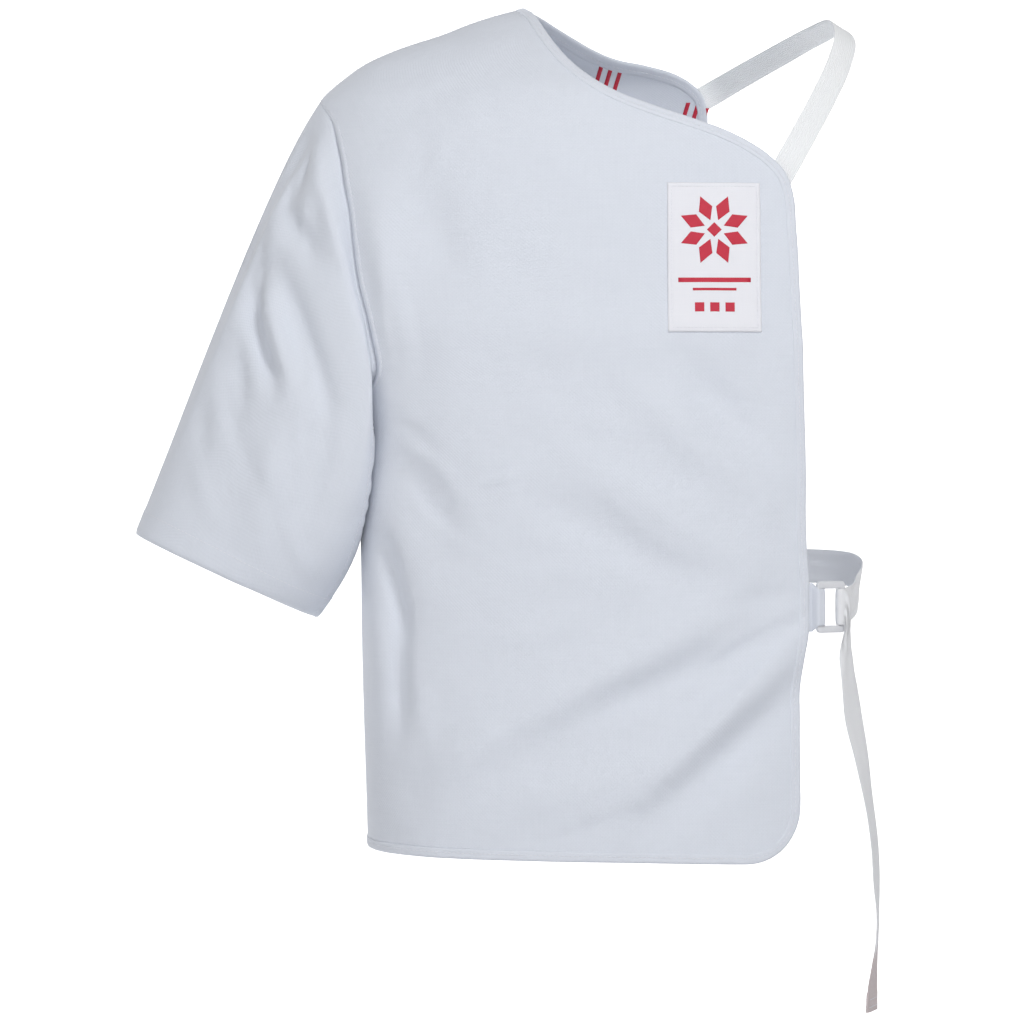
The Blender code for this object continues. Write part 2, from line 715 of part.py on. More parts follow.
def sleeve_points():
    """Outer points and directions of the sleeve, from the armhole to the cuff."""
    start, start_normals, away, shares = armhole_ring()
    count = len(start)
    turns = 2 * math.pi * np.arange(count) / count
    end = cuff_ring(turns)
    under = (1 - np.cos(turns)) / 2
    lean = LEAN_TIP + (LEAN_SIDE - LEAN_TIP) * ease(shares / 0.45)
    lean = np.radians(lean + (LEAN_UNDER - LEAN_SIDE) * ease((shares - 0.7) / 0.28))
    leaving = away * np.cos(lean)[:, None] + start_normals * np.sin(lean)[:, None]
    leaving_length = LEAVING_TIP + (LEAVING_SIDE - LEAVING_TIP) * ease(shares / 0.5)
    leaving_length = leaving_length + (LEAVING_UNDER - LEAVING_SIDE) * ease((shares - 0.6) / 0.4)
    outer_way = np.array(OUTER_WAY)
    arriving = unit(outer_way + (np.array(INNER_WAY) - outer_way) * (under**2)[:, None])
    arriving_length = ARRIVING_OUTER + (ARRIVING_INNER - ARRIVING_OUTER) * under
    first = start + away * SEAM_GAP
    second = first + leaving * leaving_length[:, None]
    third = end - arriving * arriving_length[:, None]
    third[:, 0] += ARRIVING_TUCK * under**3
    in_front = np.clip(np.sin(turns), 0, None) * under
    bulge = np.outer(in_front, [BULGE_ACROSS, -BULGE_FORWARD, 0.0])
    second = second + bulge * BULGE_START
    third = third + bulge
    steps = np.linspace(0, 1, SLEEVE_RINGS + 1) ** RING_CROWDING
    t = steps[:, None, None]
    points = (1 - t) ** 3 * first + 3 * (1 - t) ** 2 * t * second + 3 * (1 - t) * t * t * third + t**3 * end
    points = clear_of_body(points, SLEEVE_CLEAR * ease(steps / 0.12)[:, None])
    points[0] = first
    normals = grid_normals(points)
    fade = ease(steps / 0.15)[:, None]
    for side, folds in ((FRONT, SLEEVE_FOLDS), (BACK, SLEEVE_BACK_FOLDS)):
        facing = np.clip(side * normals[..., 1], 0, 1) ** 0.7
        lift = fold_lift(folds, points[..., 0], points[..., 2]) * facing * fade
        points = points + normals * lift[..., None]
    normals = grid_normals(points)
    normals[0] = start_normals
    return points, normals


def make_label(panel, material):
    """The chest patch, laid on the panel's outer side."""
    tree = tree_of(panel)
    x = np.linspace(LABEL_LEFT, LABEL_RIGHT, LABEL_COLUMNS + 1)
    height = np.linspace(LABEL_BOTTOM, LABEL_TOP, LABEL_ROWS + 1)
    base = np.zeros((LABEL_ROWS + 1, LABEL_COLUMNS + 1, 3))
    outward = np.zeros_like(base)
    for row, level in enumerate(height):
        for column, across in enumerate(x):
            base[row, column] = seen_place(tree, across, level, FRONT)
            outward[row, column] = beside_cloth(FRONT, across, level, 0.0)[1]
    builder = bmesh.new()
    lower = add_points(builder, base + outward * LABEL_GAP)
    upper = add_points(builder, base + outward * (LABEL_GAP + LABEL_THICKNESS))
    for row in range(LABEL_ROWS):
        add_strip(builder, lower[row], lower[row + 1])
        add_strip(builder, upper[row], upper[row + 1])
    for row in (0, -1):
        add_strip(builder, lower[row], upper[row])
        add_strip(builder, lower[:, row], upper[:, row])
    return make_object("label_patch", builder, material)


def tree_of(obj):
    """A tree of an object's faces in the part's own place."""
    points = [vertex.co.copy() for vertex in obj.data.vertices]
    faces = [tuple(face.vertices) for face in obj.data.polygons]
    return BVHTree.FromPolygons(points, faces)


def seen_place(tree, x, height, side):
    """The first face that a level line meets from in front or behind."""
    place = Vector((np.array([x, side * 400.0, height]) - origin()) * MM)
    hit = tree.ray_cast(place, Vector((0, -side, 0)))[0]
    return np.array(hit) / MM + origin()


def beside_cloth(side, x, height, away):
    """A place beyond the outer side of the cloth, or inside it where away is below 0, and the outward direction."""
    angle = angle_at(side, np.array([x]), np.array([height]))
    level = np.array([height])
    normal = torso_normal(side, angle, level)[0]
    return torso_point(side, angle, level)[0] + normal * away, normal


def make_shoulder_strap(material):
    """Elastic over the free shoulder, sewn outside the back's top corner and inside the front's."""
    clear = BINDING_PROUD + SEAM_GAP + ELASTIC_THICKNESS / 2 + STRAP_EASE
    rows = []
    for place in STRAP_ON_BACK:
        point, outward = beside_cloth(BACK, place.x, place.height, clear)
        rows.append([*point, *outward])
    rows += [list(row) for row in STRAP_RUN]
    for place in STRAP_IN_FRONT:
        point, outward = beside_cloth(FRONT, place.x, place.height, -WALL - clear)
        rows.append([*point, *outward])
    line = smooth_path(rows, STRAP_SECTIONS)
    along = unit(np.gradient(line[:, :3], axis=0))
    sideways = unit(np.cross(along, line[:, 3:])) * (ELASTIC_WIDTH / 2)
    return ribbon("shoulder_strap", line[:, :3], sideways, ELASTIC_THICKNESS, material)


def buckle_place(along, out, up=0.0):
    """A place in the figure from one in the buckle's own plane."""
    turn = math.radians(BUCKLE_TURN)
    forward = np.array([math.cos(turn), math.sin(turn), 0])
    outward = np.array([math.sin(turn), -math.cos(turn), 0])
    return np.array(BUCKLE_CENTRE) + along * forward + out * outward + np.array([0, 0, up])


def make_buckle(material):
    """A rectangular plastic frame with one tall slot and softened corners."""
    builder = bmesh.new()
    half_length = BUCKLE_LENGTH / 2
    half_height = BUCKLE_HEIGHT / 2
    half_thick = BUCKLE_THICKNESS / 2
    soft = BUCKLE_ROUNDING
    outside = (half_length, half_height)
    inside = (half_length - BUCKLE_BAR, half_height - BUCKLE_END_BAR)
    loops = []
    for (length, height), out, corner in (
        (outside, half_thick, BUCKLE_CORNER),
        (inside, half_thick, SLOT_CORNER),
        (inside, -half_thick, SLOT_CORNER),
        (outside, -half_thick, BUCKLE_CORNER),
    ):
        loop = []
        for quarter, (sign_x, sign_z) in enumerate(((1, 1), (-1, 1), (-1, -1), (1, -1))):
            for step in range(3):
                turn = math.radians(90 * quarter + 45 * step)
                along = sign_x * (length - corner) + corner * math.cos(turn)
                up = sign_z * (height - corner) + corner * math.sin(turn)
                loop.append(buckle_place(along, out, up))
        loops.append(loop)
    rings = [add_points(builder, loop) for loop in loops]
    closed = [np.concatenate([ring, ring[:1]]) for ring in rings]
    for index in range(4):
        add_strip(builder, closed[index], closed[(index + 1) % 4])
    frame = make_object("buckle_frame", builder, material)
    bevel = frame.modifiers.new("soft edges", "BEVEL")
    bevel.width = soft * MM
    bevel.segments = 1
    bevel.limit_method = "ANGLE"
    bevel.angle_limit = math.radians(60)
    return frame


def bar_bend(centre_along, radius, start, stop):
    """Places round a buckle bar from one angle to another, as along and out."""
    turns = np.radians(np.linspace(start, stop, BEND_STEPS + 1))
    return [(centre_along + radius * math.cos(a), radius * math.sin(a)) for a in turns]


def make_tab(material):
    """A doubled tab: from inside the front's free edge, round the near bar of the buckle and back."""
    bar_outer = -BUCKLE_LENGTH / 2 + BUCKLE_BAR
    radius = BUCKLE_THICKNESS / 2 + SEAM_GAP + TAB_THICKNESS / 2
    layers = TAB_THICKNESS + SEAM_GAP
    clear = BINDING_PROUD + SEAM_GAP + TAB_THICKNESS / 2 + STRAP_EASE
    level = BUCKLE_CENTRE[2]
    outer = [beside_cloth(FRONT, x, level, -WALL - clear)[0] for x in TAB_PLACES]
    inner = [beside_cloth(FRONT, x, level, -WALL - clear - layers)[0] for x in TAB_PLACES]
    near = -BUCKLE_LENGTH / 2
    bend = [(near, radius)] + bar_bend(bar_outer, radius, 90, -90) + [(near, -radius)]
    centres = np.array(outer + [buckle_place(along, out) for along, out in bend] + inner[::-1])
    half = np.zeros_like(centres)
    half[:, 2] = TAB_AT_BUCKLE / 2
    half[: len(outer), 2] = TAB_HEIGHT / 2
    half[-len(inner) :, 2] = TAB_HEIGHT / 2
    return ribbon("buckle_tab", centres, half, TAB_THICKNESS, material)


def waist_run(radius):
    """The waist strap's middle line and half widths from the back's free edge to the far bar of the buckle."""
    clear = BINDING_PROUD + SEAM_GAP + WEBBING_THICKNESS / 2 + STRAP_EASE
    centres = [beside_cloth(BACK, place.x, place.height, clear)[0] for place in WAIST_ON_BACK]
    centres += [np.array(place) for place in WAIST_ROUND]
    centres.append(buckle_place(BUCKLE_LENGTH / 2 + WAIST_PAST_BAR, -radius - WAIST_BEHIND_BAR))
    run = smooth_path(centres, WAIST_SECTIONS)
    upright = np.array([0.0, 0.0, 1.0])
    along = unit(np.gradient(run, axis=0))
    at_side = np.exp(-(((run[:, 1] - WAIST_LEAN_Y) / WAIST_LEAN_WIDTH) ** 2))[:, None]
    square = upright - np.cross(along, upright) * WAIST_LEAN * at_side
    from_buckle = ease(np.arange(len(run) - 1, -1, -1) / 4.0)[:, None]
    square = unit(square - from_buckle * along * np.sum(along * square, axis=1)[:, None])
    return list(run), list(square * (WEBBING_WIDTH / 2))


def make_waist_strap(material):
    """Webbing from the back's free edge round the open side, through the buckle, and down to its free end."""
    bar_inner = BUCKLE_LENGTH / 2 - BUCKLE_BAR
    radius = BUCKLE_THICKNESS / 2 + SEAM_GAP + WEBBING_THICKNESS / 2
    line, half = waist_run(radius)
    for along, out in bar_bend(bar_inner, radius, -90, -270):
        line.append(buckle_place(along, out))
        half.append(np.array([0.0, 0.0, WEBBING_WIDTH / 2]))
    for row in WAIST_TURN:
        upper = buckle_place(row.upper_along, radius + row.out, row.upper_up)
        lower = buckle_place(row.lower_along, radius + row.out, row.lower_up)
        line.append((upper + lower) / 2)
        half.append((upper - lower) / 2)
    for x, y, height, turn, width in smooth_path(WAIST_HANG, HANG_SECTIONS):
        line.append(np.array([x, y, height]))
        half.append(width * np.array([math.cos(math.radians(turn)), math.sin(math.radians(turn)), 0]))
    thickness = np.full(len(line), WEBBING_THICKNESS)
    thickness[-HEMMED_SECTIONS:] = 2 * WEBBING_THICKNESS
    return ribbon("waist_strap", line, half, thickness, material)


def make_material(name, roughness):
    """A plain finish in the piece's own colour."""
    material = bpy.data.materials.new(name)
    material.use_nodes = True
    shader = material.node_tree.nodes["Principled BSDF"]
    shader.inputs["Base Color"].default_value = (*COLOURS[name], 1.0)
    shader.inputs["Roughness"].default_value = roughness
    shader.inputs["Metallic"].default_value = 0.0
    return material


def clear_scene():
    for obj in list(bpy.data.objects):
        bpy.data.objects.remove(obj, do_unlink=True)


def main():
    clear_scene()
    cloth = make_material("cloth", 0.85)
    binding = make_material("binding", 0.8)
    webbing = make_material("webbing", 0.8)
    front = wall("front_panel", *panel_points(FRONT), cloth)
    wall("back_panel", *panel_points(BACK), cloth)
    wall("sleeve", *sleeve_points(), cloth, around=True)
    make_binding("front_binding", FRONT, binding)
    make_binding("back_binding", BACK, binding)
    make_label(front, make_material("patch", 0.7))
    make_shoulder_strap(make_material("elastic", 0.85))
    make_buckle(make_material("plastic", 0.4))
    make_tab(webbing)
    make_waist_strap(webbing)


main()
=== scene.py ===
"""Dresses a fencing underplastron: fine cloth shells, bound edges, stitching, chest patch, straps and buckle.

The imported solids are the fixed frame. Every piece here repeats the same driving sizes, in millimetres and
degrees, measured from the neck point of a general figure: x to the wearer's left, y to the back, z up. Meshes
are moved to the part's own origin, under the shoulder seam, and into metres when they are made.
"""

import logging
import math
from collections.abc import Callable, Sequence
from dataclasses import dataclass
from enum import Enum

import bpy
import numpy as np
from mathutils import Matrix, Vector


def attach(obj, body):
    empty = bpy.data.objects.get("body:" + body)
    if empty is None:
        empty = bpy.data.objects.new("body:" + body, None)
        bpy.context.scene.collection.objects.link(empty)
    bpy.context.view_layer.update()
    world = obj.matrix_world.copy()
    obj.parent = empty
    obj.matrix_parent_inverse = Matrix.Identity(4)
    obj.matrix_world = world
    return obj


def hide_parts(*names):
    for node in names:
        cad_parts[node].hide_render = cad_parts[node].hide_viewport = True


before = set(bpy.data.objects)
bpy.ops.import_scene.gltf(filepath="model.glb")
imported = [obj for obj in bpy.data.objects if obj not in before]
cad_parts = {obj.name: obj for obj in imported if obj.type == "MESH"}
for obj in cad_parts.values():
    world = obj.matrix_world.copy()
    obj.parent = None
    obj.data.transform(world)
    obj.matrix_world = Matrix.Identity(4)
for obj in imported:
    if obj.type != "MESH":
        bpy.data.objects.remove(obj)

LOG = logging.getLogger("underplastron")
MM = 0.001
BODY = "root"

# Cloth, tapes and gaps, as in the solids
WALL = 2.0
SEAM_GAP = 0.3
BINDING_WIDTH = 6.0
BINDING_PROUD = 0.5
STRAP_EASE = 0.35
CARRY_X = -120.0


class Side(Enum):
    """Which half of the body a piece lies on, with the sign of y there."""

    FRONT = -1
    BACK = 1


class Grain(Enum):
    """How a cloth's threads cross."""

    PLAIN = "plain"
    RIBBED = "ribbed"
    HERRINGBONE = "herringbone"


@dataclass(frozen=True)
class Ring:
    """One level ring of the figure that the garment is filled out on."""

    height: float
    half_width: float
    front_depth: float
    back_depth: float
    squareness: float


@dataclass(frozen=True)
class Place:
    """A place on the front or the back, seen from straight in front."""

    x: float
    height: float


@dataclass(frozen=True)
class ArmholePoint:
    """A point of the armhole: its height and the angle round the ring from the side seam."""

    height: float
    angle: float


@dataclass(frozen=True)
class Fold:
    """A fold or crease: a line seen from in front, its lift out of the cloth and its half width.

    sway bends the line's middle sideways. lean makes one flank steeper, from -1 to 1.
    """

    x: float
    height: float
    end_x: float
    end_height: float
    lift: float
    spread: float
    sway: float = 0.0
    lean: float = 0.0


RINGS = (
    Ring(-640, 178.5, 121, 119, 2.9),
    Ring(-570, 180.5, 120, 118, 2.9),
    Ring(-500, 182.8, 118, 115, 2.85),
    Ring(-450, 184, 117, 112, 2.8),
    Ring(-400, 184.5, 117, 111, 2.8),
    Ring(-350, 186, 117, 113.5, 2.85),
    Ring(-320, 187.5, 116.5, 116.2, 2.88),
    Ring(-300, 191, 116, 118, 2.88),
    Ring(-280, 198, 115, 119.5, 2.87),
    Ring(-260, 206.5, 114, 120.8, 2.84),
    Ring(-230, 217.5, 112, 122, 2.75),
    Ring(-200, 225.5, 110, 122, 2.62),
    Ring(-160, 230, 106.5, 121, 2.38),
    Ring(-130, 229.5, 103, 118, 2.25),
    Ring(-105, 227, 98.5, 115, 2.1),
    Ring(-85, 220.5, 92, 112, 2.05),
    Ring(-66, 213, 82, 108, 2),
    Ring(-52, 197.5, 70, 104, 2),
    Ring(-40, 180, 59, 98, 2),
    Ring(-29, 154.5, 48, 87, 2),
    Ring(-20, 127, 38, 73, 2),
    Ring(-12, 107, 28, 57, 2),
    Ring(-6, 88.5, 19, 42, 2),
    Ring(-2.5, 76, 12, 29, 2),
    Ring(0, 65, 6, 15, 2),
)

ARMHOLE = (
    ArmholePoint(-66, 0),
    ArmholePoint(-75, 15),
    ArmholePoint(-88, 24.5),
    ArmholePoint(-108, 31),
    ArmholePoint(-135, 36),
    ArmholePoint(-168, 39.5),
    ArmholePoint(-205, 41.5),
    ArmholePoint(-240, 42.5),
    ArmholePoint(-264, 41),
    ArmholePoint(-282, 33.5),
    ArmholePoint(-295, 19),
    ArmholePoint(-300, 0),
)
BACK_ARMHOLE_SHARE = 0.88

# The finished free edge and neckline, from above the lower corner up to the neck point
FRONT_EDGE = (
    Place(123.6, -545),
    Place(123.8, -500),
    Place(126, -462),
    Place(129.6, -438),
    Place(130, -412),
    Place(128, -383),
    Place(127.6, -330),
    Place(125.4, -265),
    Place(123.4, -210),
    Place(121.2, -165),
    Place(119, -141),
    Place(114.4, -127.5),
    Place(104.6, -116.5),
    Place(90, -106),
    Place(71, -96.5),
    Place(48, -88.5),
    Place(20, -78.5),
    Place(-4, -68),
    Place(-22, -57),
    Place(-36, -44),
    Place(-46.5, -30),
    Place(-55, -15.5),
    Place(-61.5, -4.5),
)
BACK_EDGE = (
    Place(82, -545),
    Place(83, -470),
    Place(85, -405),
    Place(80, -330),
    Place(74, -230),
    Place(71, -130),
    Place(70.4, -76),
    Place(69.6, -61),
    Place(66, -51),
    Place(57.5, -42.8),
    Place(45, -36),
    Place(24, -30.4),
    Place(-3, -25),
    Place(-18, -19.5),
    Place(-32, -13),
    Place(-46, -7),
    Place(-56, -3),
)
HEM_SIDE = -600.8
CORNER_RADIUS = 38.0
NECK_RIDGE_X = 66.5

# The large folds of the solids
FRONT_FOLDS = (
    Fold(-168, -382, -154, -445, -8, 9),
    Fold(-155, -432, -157, -520, -7, 9),
    Fold(-171, -418, -169, -492, 4, 10),
    Fold(122, -452, 14, -556, 10, 13),
    Fold(40, -536, -92, -570, 5, 18),
    Fold(70, -432, -106, -528, 8.5, 16),
    Fold(-85, -505, -135, -566, 5, 18),
    Fold(100, -450, -44, -507, -4, 13),
    Fold(119, -490, 18, -572, -5, 13),
    Fold(-150, -236, 122, -243, 3.5, 20),
    Fold(40, -258, 96, -316, -5, 14),
    Fold(8, -274, 68, -336, 5, 14),
    Fold(-32, -324, 84, -404, 5, 16),
    Fold(-60, -352, 40, -410, -4, 15),
    Fold(-152, -330, -118, -385, -6.5, 17),
    Fold(-176, -138, -152, -240, 6, 14),
    Fold(-145, -120, -118, -195, -4.5, 17),
)
BACK_FOLDS = (
    Fold(-165, -395, -148, -480, -5, 14),
    Fold(-155, -320, -118, -375, -5, 18),
    Fold(-140, -285, -95, -340, 3.5, 14),
    Fold(40, -420, -60, -476, 5, 18),
    Fold(50, -450, -20, -545, -4, 16),
    Fold(66, -470, 10, -570, 4.5, 17),
    Fold(10, -396, -110, -420, 3.5, 19),
    Fold(-60, -440, -130, -545, 4, 16),
    Fold(-172, -150, -140, -245, 4.5, 15),
    Fold(-120, -110, -60, -200, -3, 20),
    Fold(-20, -120, 60, -190, 3, 18),
    Fold(70, -190, -60, -300, -3.5, 16),
    Fold(60, -260, -40, -360, 3.5, 15),
)
SLEEVE_FOLDS = (
    Fold(-221, -88, -237, -146, -8, 8),
    Fold(-238, -148, -218, -182, -6, 9),
    Fold(-213, -108, -194, -188, 6.5, 10),
    Fold(-258, -170, -262, -226, -8, 9),
    Fold(-262, -214, -242, -276, -8.5, 9),
    Fold(-250, -206, -232, -284, 6.5, 10),
    Fold(-243, -190, -206, -288, -8, 10),
    Fold(-272, -242, -268, -296, -6, 9),
    Fold(-238, -298, -252, -380, 6.5, 15),
    Fold(-297, -282, -299, -324, -4, 10),
)
SLEEVE_BACK_FOLDS = (
    Fold(-228, -100, -250, -175, -4, 11),
    Fold(-262, -185, -240, -270, 3.5, 13),
    Fold(-215, -200, -232, -290, -4.5, 11),
    Fold(-290, -250, -262, -330, -4, 11),
    Fold(-240, -300, -270, -385, 4, 18),
)

# Finer creases, placed on what shows, with similar ones on the hidden sides
FRONT_CREASES = (
    Fold(-95, -344, -74, -336, 2.4, 2.2, 1, -0.5),
    Fold(-97, -341, -78, -333, -1.1, 3.5),
    Fold(126, -428, 52, -470, 1.5, 5, 4, 0.6),
    Fold(124, -436, 30, -500, -1.4, 6, -6, -0.4),
    Fold(126, -445, 74, -500, 1.3, 5, 5, 0.5),
    Fold(122, -420, 60, -432, -1.1, 6, 3),
    Fold(-167, -392, -154, -442, -2.2, 4, -2, 0.5),
    Fold(-155, -436, -155, -508, -2.2, 4, 2, 0.5),
    Fold(-147, -424, -148, -490, 1.2, 5, -2),
    Fold(-140, -470, -128, -540, 1.2, 6, 4, -0.4),
    Fold(-148, -318, -112, -352, 1.4, 5, -5, 0.5),
    Fold(-156, -300, -128, -330, -1.3, 5, -4),
    Fold(-150, -345, -100, -392, 1.2, 6, 6, 0.5),
    Fold(-60, -292, 22, -306, 0.8, 7, 4),
    Fold(20, -250, 60, -300, 0.9, 6, 6, -0.4),
    Fold(90, -250, 112, -330, -1.0, 7, 6),
    Fold(60, -320, 104, -372, 1.0, 6, -5, 0.5),
    Fold(-10, -350, 50, -395, 0.9, 6, 5, 0.4),
    Fold(-120, -95, -150, -150, 1.1, 6, -4),
    Fold(-100, -60, -160, -92, -0.9, 8, 5),
    Fold(-40, -90, 40, -112, -0.8, 9, -5),
    Fold(10, -100, 80, -128, 0.8, 7, 4),
    Fold(-166, -180, -160, -262, 1.2, 5, 3, 0.5),
    Fold(-152, -200, -140, -270, -1.0, 7, -4),
    Fold(20, -560, -60, -588, 1.2, 6, 4, 0.4),
    Fold(90, -540, 30, -585, -1.0, 7, 5),
    Fold(-100, -560, -140, -590, 1.0, 6, -3),
    Fold(-20, -430, -90, -450, 0.9, 8, -6),
    Fold(-20, -395, -120, -402, -0.8, 9, 5),
)
BACK_CREASES = (
    Fold(74, -405, 10, -440, 1.5, 5, 5, 0.5),
    Fold(76, -416, 0, -470, -1.3, 6, -6),
    Fold(70, -430, 30, -490, 1.2, 5, 4, 0.4),
    Fold(60, -396, -20, -392, -1.0, 7, 4),
    Fold(-150, -310, -105, -352, 1.4, 5, -5, 0.5),
    Fold(-158, -335, -110, -392, -1.2, 6, 6),
    Fold(-160, -430, -146, -500, 1.3, 5, 3),
    Fold(-130, -470, -112, -550, -1.1, 7, -4),
    Fold(-60, -520, -110, -580, 1.1, 7, 5),
    Fold(40, -540, 0, -585, -1.0, 7, 4),
    Fold(-60, -120, 20, -160, 1.0, 8, 6),
    Fold(-120, -150, -60, -230, -1.0, 8, -6),
    Fold(20, -180, 60, -260, 1.0, 7, 5),
    Fold(-90, -260, 0, -300, 0.9, 8, -5),
    Fold(-165, -190, -158, -260, 1.2, 5, 3, 0.5),
    Fold(-110, -70, -165, -100, -0.9, 8, 5),
)
SLEEVE_CREASES = (
    Fold(-222, -98, -236, -148, -2.2, 5, 4, 0.5),
    Fold(-212, -120, -224, -180, 1.8, 5, 3),
    Fold(-244, -150, -262, -205, 1.8, 6, -5),
    Fold(-262, -190, -238, -270, -2.2, 5, 6, 0.5),
    Fold(-232, -215, -214, -290, 1.8, 5, -4, -0.4),
    Fold(-282, -250, -262, -325, -1.8, 6, 5),
    Fold(-214, -262, -226, -330, 2, 5, 4, 0.5),
    Fold(-205, -285, -218, -360, -2, 6, -4),
    Fold(-300, -300, -284, -372, 1.6, 7, 5),
    Fold(-262, -330, -240, -392, -1.4, 7, -5),
    Fold(-236, -360, -216, -412, 1.6, 6, 3),
)
SLEEVE_BACK_CREASES = (
    Fold(-226, -110, -246, -170, -2.2, 5, 4, 0.5),
    Fold(-260, -200, -240, -280, 2, 6, -5),
    Fold(-215, -215, -228, -300, -2, 5, 4, 0.4),
    Fold(-284, -260, -262, -340, 1.8, 6, 5),
    Fold(-225, -320, -240, -390, 1.6, 7, -4),
    Fold(-295, -300, -280, -370, -1.6, 7, 4),
)


def smooth_curve(knots: Sequence[float], values: Sequence[float], at: np.ndarray) -> np.ndarray:
    """A cubic curve through a table, held level past its ends.

    Args:
        knots: places of the values, rising or falling.
        values: the table's values.
        at: where the curve is read.

    Returns:
        The curve's value at each place.
    """
    knots = np.asarray(knots, float)
    values = np.asarray(values, float)
    if knots[0] > knots[-1]:
        knots = knots[::-1]
        values = values[::-1]
    slopes = np.gradient(values, knots)
    at = np.clip(np.asarray(at, float), knots[0], knots[-1])
    low = np.clip(np.searchsorted(knots, at, side="right") - 1, 0, len(knots) - 2)
    step = knots[low + 1] - knots[low]
    t = (at - knots[low]) / step
    rise = values[low + 1] - values[low]
    start = step * slopes[low] * t * (1 - t) ** 2
    end = step * slopes[low + 1] * t * t * (1 - t)
    return values[low] + start + rise * t * t * (3 - 2 * t) - end


def smooth_path(points: Sequence[Sequence[float]], samples: int) -> np.ndarray:
    """Evenly spaced points on a smooth line.

    Args:
        points: a short list of points, with any number of columns.
        samples: how many points the line gets.

    Returns:
        The points, one a row.
    """
    table = np.asarray(points, float)
    steps = np.linalg.norm(np.diff(table, axis=0), axis=1)
    along = np.concatenate(([0.0], np.cumsum(steps)))
    fine = np.linspace(0, along[-1], 40 * len(table))
    columns = range(table.shape[1])
    line = np.stack([smooth_curve(along, table[:, i], fine) for i in columns], axis=1)
    lengths = lengths_along(line)
    at = np.interp(np.linspace(0, lengths[-1], samples), lengths, fine)
    return np.stack([smooth_curve(along, table[:, i], at) for i in columns], axis=1)


def lengths_along(line: np.ndarray) -> np.ndarray:
    """The distance of each point of a line from its first point."""
    return np.concatenate(([0.0], np.cumsum(np.linalg.norm(np.diff(line, axis=0), axis=1))))


def resampled(line: np.ndarray, places: np.ndarray) -> np.ndarray:
    """Points of a polyline, with any columns after x, y and z, at the given distances along it."""
    lengths = lengths_along(line[:, :3])
    return np.stack([np.interp(places, lengths, line[:, i]) for i in range(line.shape[1])], axis=1)


def ease(t: np.ndarray) -> np.ndarray:
    """0 below 0, 1 above 1, and a soft rise between."""
    t = np.clip(t, 0, 1)
    return t * t * (3 - 2 * t)


def facing(side: Side, normal: np.ndarray) -> np.ndarray:
    """How squarely a surface faces the front or the back, from 0 to 1, with a soft start."""
    return ease(side.value * normal[..., 1] / 0.8)


def unit(vectors: np.ndarray) -> np.ndarray:
    """The same directions with length 1."""
    return vectors / np.maximum(np.linalg.norm(vectors, axis=-1, keepdims=True), 1e-12)


def crowded(count: int, crowding: float) -> np.ndarray:
    """Steps from 0 to 1 that lie closer together near both ends, by a crowding from 0 to 1."""
    t = np.linspace(0, 1, count + 1)
    return t - crowding * np.sin(2 * math.pi * t) / (2 * math.pi)


def fold_lift(folds: Sequence[Fold], x: np.ndarray, height: np.ndarray) -> np.ndarray:
    """How far folds push the cloth out.

    Args:
        folds: the folds.
        x: sideways places seen from in front.
        height: heights of the same places.

    Returns:
        The sum of the lifts, in millimetres.
    """
    lift = np.zeros(np.broadcast(x, height).shape)
    for fold in folds:
        run = np.array([fold.end_x - fold.x, fold.end_height - fold.height])
        length = float(np.linalg.norm(run))
        run = run / length
        along = (x - fold.x) * run[0] + (height - fold.height) * run[1]
        share = np.clip(along / length, 0, 1)
        beyond = along - share * length
        aside = (x - fold.x) * run[1] - (height - fold.height) * run[0]
        aside = aside - fold.sway * 4 * share * (1 - share)
        spread = fold.spread * (1 + 0.55 * fold.lean * np.tanh(aside / fold.spread))
        away = np.hypot(aside / spread, beyond / fold.spread)
        lift = lift + fold.lift * np.exp(-away * away) * np.sin(math.pi * (0.12 + 0.76 * share))
    return lift


def rumple(x: np.ndarray, height: np.ndarray, size: float, longest: float) -> np.ndarray:
    """Soft unevenness from crossing waves of falling length, the same at each run.

    Args:
        x: sideways places.
        height: heights.
        size: the greatest rise in millimetres, about.
        longest: the longest wave in millimetres.

    Returns:
        The rise at each place.
    """
    total = np.zeros(np.broadcast(x, height).shape)
    for number in range(10):
        turn = 2.4 * number + 0.3
        wave = longest / (1 + 0.35 * number)
        phase = (x * math.cos(turn) + height * math.sin(turn)) / wave
        bend = 0.9 * np.sin((x * math.sin(turn) - height * math.cos(turn)) / (1.7 * longest) * 2 * math.pi)
        total = total + np.sin(2 * math.pi * phase + 1.7 * number + bend) * wave / longest
    return size * total / 4.0


